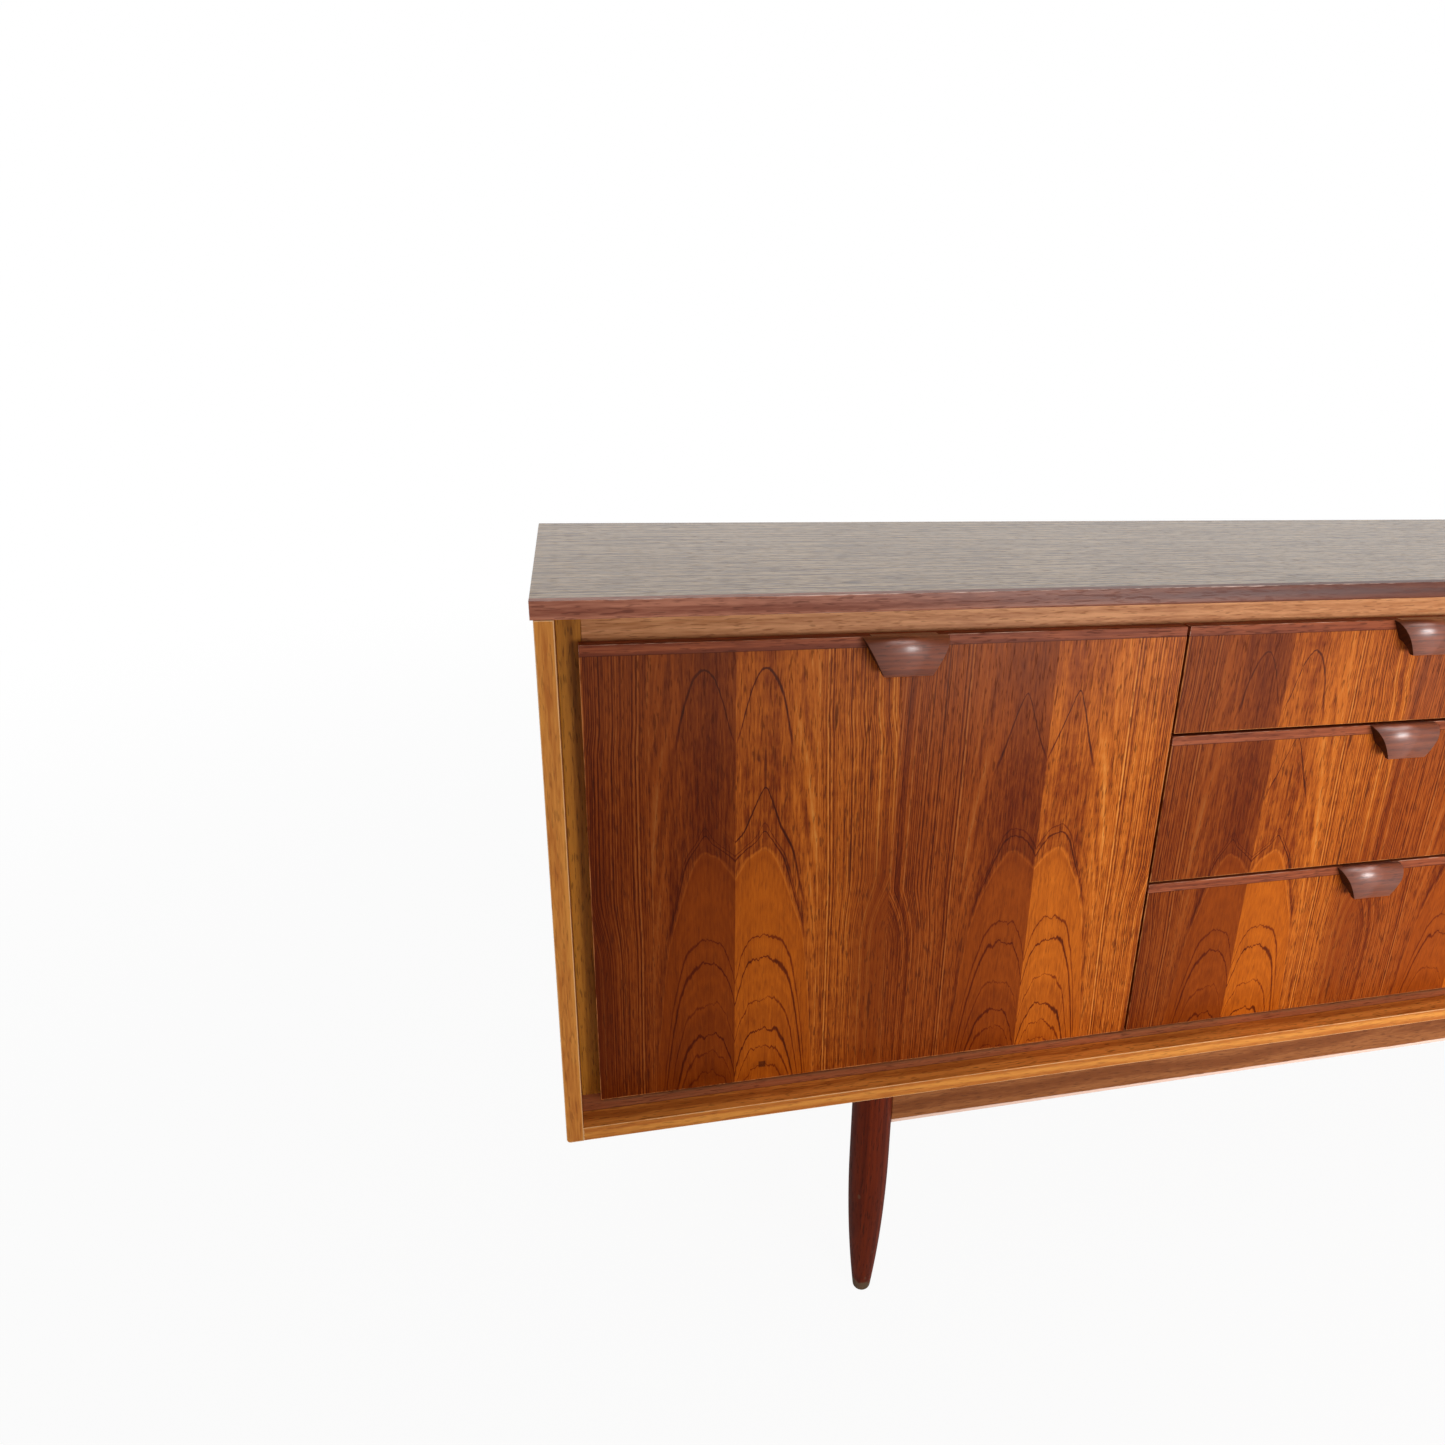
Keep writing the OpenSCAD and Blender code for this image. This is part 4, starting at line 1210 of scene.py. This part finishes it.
def start_tree(name: str, inputs: dict[str, float | Vector | None]) -> tuple[Graph, list[Wire]]:
    """Starts a Geometry Nodes tree.

    Args:
        name: Name of the tree.
        inputs: Its inputs and their usual values, or None for the geometry that it starts from.

    Returns:
        The tree's graph, and its inputs in the same order.
    """
    tree = bpy.data.node_groups.new(name, "GeometryNodeTree")
    for title, value in inputs.items():
        kind = SOCKET_OF[type(value)]
        socket = tree.interface.new_socket(title, in_out="INPUT", socket_type=kind)
        if value is not None:
            socket.default_value = value
    tree.interface.new_socket("Geometry", in_out="OUTPUT", socket_type="NodeSocketGeometry")
    graph = Graph(tree)
    outputs = graph.node("NodeGroupInput").socket.node.outputs
    return graph, [Wire(graph, outputs[title]) for title in inputs]


def end_tree(graph: Graph, geometry: Wire, finish: Finish) -> bpy.types.NodeTree:
    """Makes a tree's instances real, gives them their finish and closes the tree.

    Args:
        graph: The tree's graph.
        geometry: What the tree has made.
        finish: Its finish.

    Returns:
        The finished tree.
    """
    real = graph.node("GeometryNodeRealizeInstances", None, {0: geometry})
    dressed = graph.node("GeometryNodeSetMaterial", None, {0: real, "Material": finish.material()})
    graph.close(dressed, "NodeGroupOutput")
    return graph.tree


@dataclass
class LegTree:
    """Geometry Nodes tree that turns a leg: straight above, curving in to a rounded foot."""

    height: float = 0.3
    top_diameter: float = 0.044
    foot_diameter: float = 0.02
    taper_height: float = 0.200
    taper_power: float = 2.1
    foot_round: float = 0.003
    rings: int = 110
    facets: int = 72
    crowding: float = 1.7

    def build(self, finish: Finish) -> bpy.types.NodeTree:
        """Builds the tree.

        Args:
            finish: Finish of the leg.

        Returns:
            The node group, with the leg's sizes as its inputs.
        """
        graph, (height, top, foot, taper, power, rounding, spot) = start_tree("turned_leg", {
            "Height": self.height, "Top Diameter": self.top_diameter,
            "Foot Diameter": self.foot_diameter, "Taper Height": self.taper_height,
            "Taper Power": self.taper_power, "Foot Round": self.foot_round, "Place": Vector()})
        line = graph.node("GeometryNodeMeshLine", None, {
            "Count": self.rings, "Offset": (0.0, 0.0, 0.001)}, "Mesh")
        share = graph.node("GeometryNodeInputIndex") / (self.rings - 1)
        z = height * share ** self.crowding
        inside = ((taper - z).most(0.0) / taper) ** power
        turned = top * 0.5 - (top - foot) * 0.5 * inside
        rest = (rounding - z).most(0.0)
        radius = turned - rounding + (rounding * rounding - rest * rest) ** 0.5
        moved = graph.node("GeometryNodeSetPosition", None, {
            "Geometry": line, "Position": graph.vector(0.0, 0.0, z)})
        curve = graph.node("GeometryNodeMeshToCurve", None, {0: moved})
        circle = graph.node("GeometryNodeCurvePrimitiveCircle", None, {
            "Resolution": self.facets, "Radius": 1.0}, "Curve")
        lathe = graph.node("GeometryNodeCurveToMesh", None, {
            "Curve": curve, "Profile Curve": circle, "Scale": radius, "Fill Caps": True})
        smooth = graph.node("GeometryNodeSetShadeSmooth", None, {0: lathe})
        stood = graph.node("GeometryNodeTransform", None, {
            "Geometry": smooth, "Translation": spot})
        return end_tree(graph, stood, finish)


@dataclass
class ScrewTree:
    """Geometry Nodes tree that drives a slotted countersunk screw in at each point of a mesh."""

    head_diameter: float = 0.007
    shank_diameter: float = 0.0035
    facets: int = 24
    slot_width: float = 0.0011
    slot_depth: float = 0.0009
    hidden_share: float = 0.15
    seed: int = 7

    def build(self, finish: Finish) -> bpy.types.NodeTree:
        """Builds the tree.

        Args:
            finish: Finish of the screws.

        Returns:
            The node group, which reads "aim" and "long" from its points.
        """
        graph, (places, head, shank, slot_width, slot_depth, seed) = start_tree("driven_screws", {
            "Places": None, "Head Diameter": self.head_diameter,
            "Shank Diameter": self.shank_diameter, "Slot Width": self.slot_width,
            "Slot Depth": self.slot_depth, "Seed": self.seed})
        aim = graph.node("GeometryNodeInputNamedAttribute", {"data_type": "FLOAT_VECTOR"},
                         {"Name": "aim"})
        length = graph.node("GeometryNodeInputNamedAttribute", {"data_type": "FLOAT"},
                            {"Name": "long"})
        spin = graph.node("FunctionNodeRandomValue", {"data_type": "FLOAT"}, {
            2: 0.0, 3: math.tau, "Seed": seed}, 1)
        spun = graph.node("FunctionNodeEulerToRotation", None, {0: graph.vector(0.0, 0.0, spin)})
        turned = graph.node("FunctionNodeAlignRotationToVector", {"axis": "Z"}, {
            "Rotation": spun, "Vector": aim})
        cone = graph.node("GeometryNodeMeshCone", None, {
            "Vertices": self.facets, "Radius Top": shank * 0.5, "Radius Bottom": head * 0.5,
            "Depth": (head - shank) * 0.5}, "Mesh")
        bar = graph.node("GeometryNodeMeshCube", None, {
            "Size": graph.vector(head * 1.2, slot_width, slot_depth * 2)}, "Mesh")
        exact_cut = {"operation": "DIFFERENCE", "solver": "EXACT"}
        slotted = graph.node("GeometryNodeMeshBoolean", exact_cut, {
            "Mesh 1": cone, "Mesh 2": bar}, "Mesh")
        rod = graph.node("GeometryNodeMeshCylinder", None, {
            "Vertices": self.facets, "Radius": shank * 0.5, "Depth": 1 - self.hidden_share}, "Mesh")
        rod = graph.node("GeometryNodeTransform", None, {
            "Geometry": rod, "Translation": (0.0, 0.0, (1 + self.hidden_share) / 2)})
        heads = graph.node("GeometryNodeInstanceOnPoints", None, {
            "Points": places, "Instance": slotted, "Rotation": turned})
        rods = graph.node("GeometryNodeInstanceOnPoints", None, {
            "Points": places, "Instance": rod, "Rotation": turned,
            "Scale": graph.vector(1.0, 1.0, length)})
        both = graph.node("GeometryNodeJoinGeometry", None, {0: [heads, rods]})
        return end_tree(graph, both, finish)


def grow(name: str, tree: bpy.types.NodeTree, sizes: dict[str, Any],
         seed_mesh: bpy.types.Mesh | None = None) -> bpy.types.Object:
    """Runs a Geometry Nodes tree once and keeps its result as a plain mesh.

    Args:
        name: The new object's name.
        tree: The tree.
        sizes: Values for its named inputs.
        seed_mesh: The mesh that the tree starts from, if it needs one.

    Returns:
        An object with the finished mesh and no modifier.
    """
    carrier = bpy.data.objects.new(name, seed_mesh or bpy.data.meshes.new(f"{name}_seed"))
    bpy.context.scene.collection.objects.link(carrier)
    modifier = carrier.modifiers.new("grow", "NODES")
    modifier.node_group = tree
    sockets = {item.name: item.identifier for item in tree.interface.items_tree
               if item.in_out == "INPUT"}
    for size, value in sizes.items():
        modifier[sockets[size]] = value
    carrier.update_tag()
    ready = carrier.evaluated_get(bpy.context.evaluated_depsgraph_get())
    data = bpy.data.meshes.new_from_object(ready)
    carrier.modifiers.clear()
    carrier.data = data
    data.name = name
    return carrier


@dataclass
class Underframe(SubAssembly):
    """Four turned legs and the rails that join them."""

    foot_diameter: float = 0.0195
    rail_ease: float = 0.0010
    worn_edge: float = 0.0060
    facing_end: float = 0.95

    def build(self) -> None:
        """Builds the legs and the rails."""
        tree = LegTree().build(LEG_TEAK)
        for row in ("front", "rear"):
            for side in Side:
                self.leg(f"leg_{row}_{side.value}", tree)
            self.copy(f"base_rail_{row}", BASE_TEAK, Grain.ALONG_X, self.rail_ease, self.worn_edge)
        self.copy("base_cross_rails", BASE_TEAK, Grain.ALONG_Y, self.rail_ease / 2, self.worn_edge)

    def leg(self, node: str, tree: bpy.types.NodeTree) -> None:
        """Turns one leg in the place of its node.

        Args:
            node: The leg's CAD node.
            tree: The Geometry Nodes tree that turns it.
        """
        low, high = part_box(node)
        middle = (low + high) / 2
        made = grow(f"turned_{node}", tree, {
            "Height": high.z - low.z, "Top Diameter": high.x - low.x,
            "Foot Diameter": self.foot_diameter, "Place": (middle.x, middle.y, low.z)})
        blank = Blank()
        blank.mesh.from_mesh(made.data)
        bmesh.ops.recalc_face_normals(blank.mesh, faces=blank.mesh.faces)
        for face in blank.mesh.faces:
            face.smooth = abs(face.normal.z) < self.facing_end
        blank.edges(0.0)
        blank.grain(Grain.ALONG_Z, (0.0, -middle.x, -middle.y))
        blank.mesh.to_mesh(made.data)
        blank.mesh.free()
        self.place(made, LEG_TEAK, node)


@dataclass
class LipHandle(SubAssembly):
    """Carved lip handle: a round shoulder, a slow face curve and a hollow for the fingers."""

    foot_width: float = 0.046
    tongue_width: float = 0.064
    shoulder: float = 0.018
    face_radius: float = 0.060
    hollow: float = 0.015
    lip: float = 0.0047
    hollow_back: float = 0.0018
    face_drop: float = 0.002
    rim_ease: float = 0.0008
    tongue_height: float = 0.00995
    shoulder_steps: int = 24
    face_steps: int = 14
    hollow_steps: int = 20
    facing_aside: float = 0.7

    def section(self, proud: float, height: float) -> list[tuple[float, float]]:
        """Draws the section behind which the hand goes.

        Args:
            proud: How far the handle stands out.
            height: Its height.

        Returns:
            Points as depth (negative in front of the face) and height below the top edge.
        """
        top = (self.shoulder - proud, -self.shoulder)
        face = (self.face_radius - proud, -self.shoulder - self.face_drop)
        hollow = (self.hollow + self.lip + self.hollow_back - proud, -height)
        points = []
        for step in range(self.shoulder_steps + 1):
            angle = math.pi / 2 + step / self.shoulder_steps * math.pi / 2
            y = top[0] + self.shoulder * math.cos(angle)
            z = top[1] + self.shoulder * math.sin(angle)
            if y <= 0:
                points.append((y, z))
        for step in range(1, self.face_steps + 1):
            z = -self.shoulder - (height - self.shoulder) * step / self.face_steps
            points.append((face[0] - math.sqrt(self.face_radius ** 2 - (z - face[1]) ** 2), z))
        turn = math.acos(-hollow[0] / self.hollow)
        for step in range(self.hollow_steps + 1):
            angle = math.pi - (math.pi - turn) * step / self.hollow_steps
            points.append((hollow[0] + self.hollow * math.cos(angle),
                           hollow[1] + self.hollow * math.sin(angle)))
        return [(0.0, 0.0)] + points

    def build(self, node: str) -> None:
        """Carves the handle of a node.

        Args:
            node: The handle's CAD node.
        """
        low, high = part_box(node)
        panel = next(name for name in BODIES[BODY_OF[node]] if name.endswith(("_panel", "_front")))
        face_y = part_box(panel)[0].y
        middle = (low.x + high.x) / 2
        width, height = high.x - low.x, high.z - low.z
        blank = Blank()
        mesh = blank.mesh
        outline = self.section(face_y - low.y, height)
        ends = []
        for side in (-1, 1):
            ring = []
            for y, z in outline:
                half = width / 2 + (self.foot_width - width) / 2 * (-z / height)
                ring.append(mesh.verts.new((middle + side * half, face_y + y, high.z + z)))
            ends.append(ring)
        count = len(outline)
        for first in range(count):
            second = (first + 1) % count
            corners = (ends[0][first], ends[0][second], ends[1][second], ends[1][first])
            mesh.faces.new(corners).smooth = True
        mesh.faces.new(ends[0])
        mesh.faces.new(list(reversed(ends[1])))
        bmesh.ops.recalc_face_normals(mesh, faces=mesh.faces)
        rims = blank.ease(self.rim_ease)
        self.tongue(mesh, middle, face_y, high)
        blank.edges(0.0, rims=rims)
        blank.grain(Grain.ALONG_X, wood_shift(node))
        made = blank.finish(f"carved_{node}")
        self.place(made, HANDLE_TEAK, node)
        # The end faces get a darker finish: end grain, and painted shade.
        self.second_finish(made, HANDLE_END_GRAIN_AND_SHADE, lambda normal: abs(normal.x) > self.facing_aside)

    def tongue(self, mesh: bmesh.types.BMesh, middle: float, face_y: float, high: Vector) -> None:
        """Adds the tongue that is glued into the lipping.

        Args:
            mesh: The handle's mesh.
            middle: Middle of the handle along X.
            face_y: Place of the front's face.
            high: Highest corner of the handle's node.
        """
        size = Vector((self.tongue_width, high.y - face_y, self.tongue_height))
        centre = Vector((middle, (high.y + face_y) / 2, high.z - self.tongue_height / 2))
        place = Matrix.Translation(centre) @ Matrix.Diagonal((*size, 1.0))
        bmesh.ops.create_cube(mesh, size=1.0, matrix=place)


@dataclass
class Flap(SubAssembly):
    """A fall flap with its lipping, handle, hinge cups, strike and stay bracket."""

    side: Side
    run_shift: float = 0.0
    face_ease: float = 0.0007
    worn_edge: float = 0.0020
    lipping_worn: float = 0.0012
    cup_ease: float = 0.0002
    strike_ease: float = 0.0001
    bracket_ease: float = 0.0003

    def build(self) -> None:
        """Builds the flap."""
        name = f"flap_{self.side.value}"
        low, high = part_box(f"{name}_panel")
        run = (self.run_shift, -(low.x + high.x) / 2, 0.0)
        self.copy(f"{name}_panel", FRONT_VENEER, Grain.ALONG_Z, self.face_ease, self.worn_edge,
                  Joint.TOP, run)
        self.copy(f"{name}_lipping", DOOR_LIPPING, Grain.ALONG_X, self.face_ease, self.lipping_worn,
                  Joint.BOTTOM)
        LipHandle().build(f"{name}_handle")
        self.copy(f"{name}_hinge_cups", STEEL, ease=self.cup_ease)
        self.copy(f"{name}_strike", STEEL, ease=self.strike_ease)
        self.copy(f"{name}_stay_bracket", BRASS, ease=self.bracket_ease)


@dataclass
class Stay(SubAssembly):
    """The rod that holds an open flap, and the guide that it slides through."""

    side: Side
    ease: float = 0.0003

    def build(self) -> None:
        """Builds the rod and the guide."""
        self.copy(f"stay_rod_{self.side.value}", BRASS, ease=self.ease)
        self.copy(f"stay_guide_{self.side.value}", BRASS, ease=self.ease)


@dataclass
class Drawer(SubAssembly):
    """A drawer: a matched front with lipping and handle, and a dovetailed box."""

    number: int
    run_shift: float = 0.052
    face_ease: float = 0.0007
    worn_edge: float = 0.0020
    lipping_worn: float = 0.0012

    def build(self) -> None:
        """Builds the drawer."""
        name = f"drawer_{self.number}"
        self.copy(f"{name}_front", DRAWER_VENEER, Grain.ALONG_Z, self.face_ease, self.worn_edge,
                  Joint.TOP, (self.run_shift, 0.0, 0.0))
        self.copy(f"{name}_lipping", DOOR_LIPPING, Grain.ALONG_X, self.face_ease, self.lipping_worn,
                  Joint.BOTTOM)
        LipHandle().build(f"{name}_handle")
        self.copy(f"{name}_sides", BEECH, Grain.ALONG_Y, 0.0)
        self.copy(f"{name}_back", BEECH, Grain.ALONG_X, 0.0)
        self.copy(f"{name}_bottom", BOX_PLY, Grain.FLAT_X)


@dataclass
class Fittings(SubAssembly):
    """Hinge feet, stay plates, catches and screws that stay on the carcass."""

    metal_ease: float = 0.0003
    plastic_ease: float = 0.0005

    def build(self) -> None:
        """Builds the fittings."""
        self.copy("hinge_feet", STEEL, ease=self.metal_ease)
        self.copy("stay_plates", BRASS, ease=self.metal_ease)
        self.copy("catch_cases", CATCH_PLASTIC, ease=self.plastic_ease)
        self.screws("wood_screws")

    def screws(self, node: str) -> None:
        """Drives a screw in wherever the node has one.

        Args:
            node: The screws' CAD node.
        """
        places: list[tuple[Vector, Vector, float]] = []
        widths: list[tuple[float, float]] = []
        blank = Blank.copy_of(node)
        for group in blank.solids():
            low, high = blank.box_of(group)
            size, middle = high - low, (low + high) / 2
            way = max(range(3), key=lambda axis: size[axis])
            across = (way + 1) % 3
            reach = {}
            for end in (low, high):
                near = [vert.co[across] for vert in group
                        if abs(vert.co[way] - end[way]) < Blank.NEAR]
                reach[end[way]] = max(near) - min(near)
            head = max(reach, key=lambda end: reach[end])
            aim = Vector()
            aim[way] = 1.0 if head < middle[way] else -1.0
            start = middle.copy()
            start[way] = head
            places.append((start, aim, size[way]))
            widths.append((max(reach.values()), min(reach.values())))
        blank.mesh.free()
        seed = bpy.data.meshes.new("screw_places")
        seed.from_pydata([start for start, _, _ in places], [], [])
        aims = seed.attributes.new("aim", "FLOAT_VECTOR", "POINT")
        aims.data.foreach_set("vector", [part for _, aim, _ in places for part in aim])
        lengths = seed.attributes.new("long", "FLOAT", "POINT")
        lengths.data.foreach_set("value", [length for _, _, length in places])
        made = grow("driven_wood_screws", ScrewTree().build(STEEL), {
            "Head Diameter": widths[0][0], "Shank Diameter": widths[0][1]}, seed)
        self.place(made, STEEL, node)


@dataclass
class Studio:
    """Camera, lights, floor and world."""

    camera_place: tuple[float, float, float] = (-0.860, -1.003, 1.019)
    yaw: float = 14.03
    pitch: float = -19.73
    roll: float = -1.89
    lens: float = 24.93
    shift: float = -0.064
    key_place: tuple[float, float, float] = (0.42, -1.95, 0.58)
    fill_place: tuple[float, float, float] = (-1.0, -1.95, 0.30)
    lamp_width: float = 1.2
    lamp_height: float = 0.6
    lamp_spread: float = 100.0
    fill_power: float = 0.5
    key_power: float = 11.2
    sky: float = 0.42
    front_sky: float = 0.30
    window: float = 3.0
    sensor: float = 36.0
    floor_size: float = 12.0
    floor_strips: int = 24
    floor_paint: Paint = (0.86, 0.86, 0.86, 1.0)
    floor_white: float = 0.94

    def build(self) -> None:
        """Sets up the studio."""
        self.camera()
        self.world()
        self.lamp("key", self.key_place, self.key_power)
        self.lamp("fill", self.fill_place, self.fill_power)
        self.floor()
        bpy.context.scene.view_settings.view_transform = "Standard"

    def camera(self) -> None:
        """Places the camera."""
        data = bpy.data.cameras.new("camera")
        data.sensor_width = self.sensor
        data.lens = self.lens
        data.shift_x = self.shift
        made = bpy.data.objects.new("camera", data)
        bpy.context.scene.collection.objects.link(made)
        yaw, pitch, roll = (math.radians(angle) for angle in (self.yaw, self.pitch, self.roll))
        level = Vector((math.sin(yaw), math.cos(yaw), 0.0)) * math.cos(pitch)
        ahead = level + Vector((0.0, 0.0, math.sin(pitch)))
        right = Vector((math.cos(yaw), -math.sin(yaw), 0.0))
        down = ahead.cross(right)
        turned = right * math.cos(roll) + down * math.sin(roll)
        sunk = down * math.cos(roll) - right * math.sin(roll)
        matrix = Matrix((turned, -sunk, -ahead)).transposed().to_4x4()
        made.matrix_world = Matrix.Translation(self.camera_place) @ matrix
        bpy.context.scene.camera = made

    def world(self) -> None:
        """Makes a world that looks white, lights softly and shows a high window in reflections."""
        world = bpy.data.worlds.new("studio")
        world.use_nodes = True
        world.node_tree.nodes.clear()
        graph = Graph(world.node_tree)
        seen = graph.node("ShaderNodeLightPath", None, None, "Is Camera Ray")
        glossy = Wire(graph, seen.socket.node.outputs["Is Glossy Ray"])
        _, back, up = graph.split(graph.node("ShaderNodeTexCoord", None, None, "Generated"))
        shine = back.rise(-0.5, 0.4) * (1 - self.front_sky) + self.front_sky
        window = up.rise(0.50, 0.62) * up.rise(0.95, 0.85) * back.rise(-0.05, -0.20)
        shine = shine + window * self.window
        strength = seen.most(glossy * shine).most((1 - seen.most(glossy)) * self.sky)
        sky = graph.node("ShaderNodeBackground", None, {"Color": WHITE, "Strength": strength})
        graph.close(sky, "ShaderNodeOutputWorld")
        bpy.context.scene.world = world

    def lamp(self, name: str, place: tuple[float, float, float], power: float) -> None:
        """Hangs a large soft lamp in front, which shines straight at the cabinet.

        Args:
            name: Name of the lamp.
            place: Its middle.
            power: Its power in watts.
        """
        data = bpy.data.lights.new(name, "AREA")
        data.shape = "RECTANGLE"
        data.size = self.lamp_width
        data.size_y = self.lamp_height
        data.spread = math.radians(self.lamp_spread)
        data.energy = power
        made = bpy.data.objects.new(name, data)
        made.location = place
        made.rotation_euler = (math.radians(90), 0.0, 0.0)
        bpy.context.scene.collection.objects.link(made)

    def floor(self) -> None:
        """Lays the pale floor, which keeps the shadow and fades to white far away."""
        mesh = bmesh.new()
        bmesh.ops.create_grid(mesh, x_segments=self.floor_strips, y_segments=self.floor_strips,
                              size=self.floor_size)
        data = bpy.data.meshes.new("floor")
        mesh.to_mesh(data)
        mesh.free()
        made = bpy.data.objects.new("floor", data)
        graph, material = Graph.of_material("pale_floor")
        x, y, _ = graph.cabinet_place()
        far = ((x * x + y * y) ** 0.5).rise(1.0, 4.0)
        seen = graph.node("ShaderNodeLightPath", None, None, "Is Camera Ray")
        chalk = graph.node("ShaderNodeBsdfDiffuse", None, {"Color": self.floor_paint})
        white = graph.node("ShaderNodeEmission", None, {"Color": WHITE, "Strength": 1.0})
        share = seen * (far * (1 - self.floor_white) + self.floor_white)
        graph.close(graph.node("ShaderNodeMixShader", None, {0: share, 1: chalk, 2: white}))
        made.data.materials.append(material)
        bpy.context.scene.collection.objects.link(made)


def main() -> None:
    """Builds the studio and every sub-assembly."""
    logging.basicConfig(level=logging.INFO, format="%(name)s %(message)s")
    Studio().build()
    Carcass().build()
    Underframe().build()
    Fittings().build()
    for flap in (Flap(Side.LEFT), Flap(Side.RIGHT, run_shift=RIGHT_RUN_SHIFT)):
        flap.build()
        Stay(flap.side).build()
    for number in range(1, DRAWERS + 1):
        Drawer(number).build()


if __name__ == "__main__":
    main()
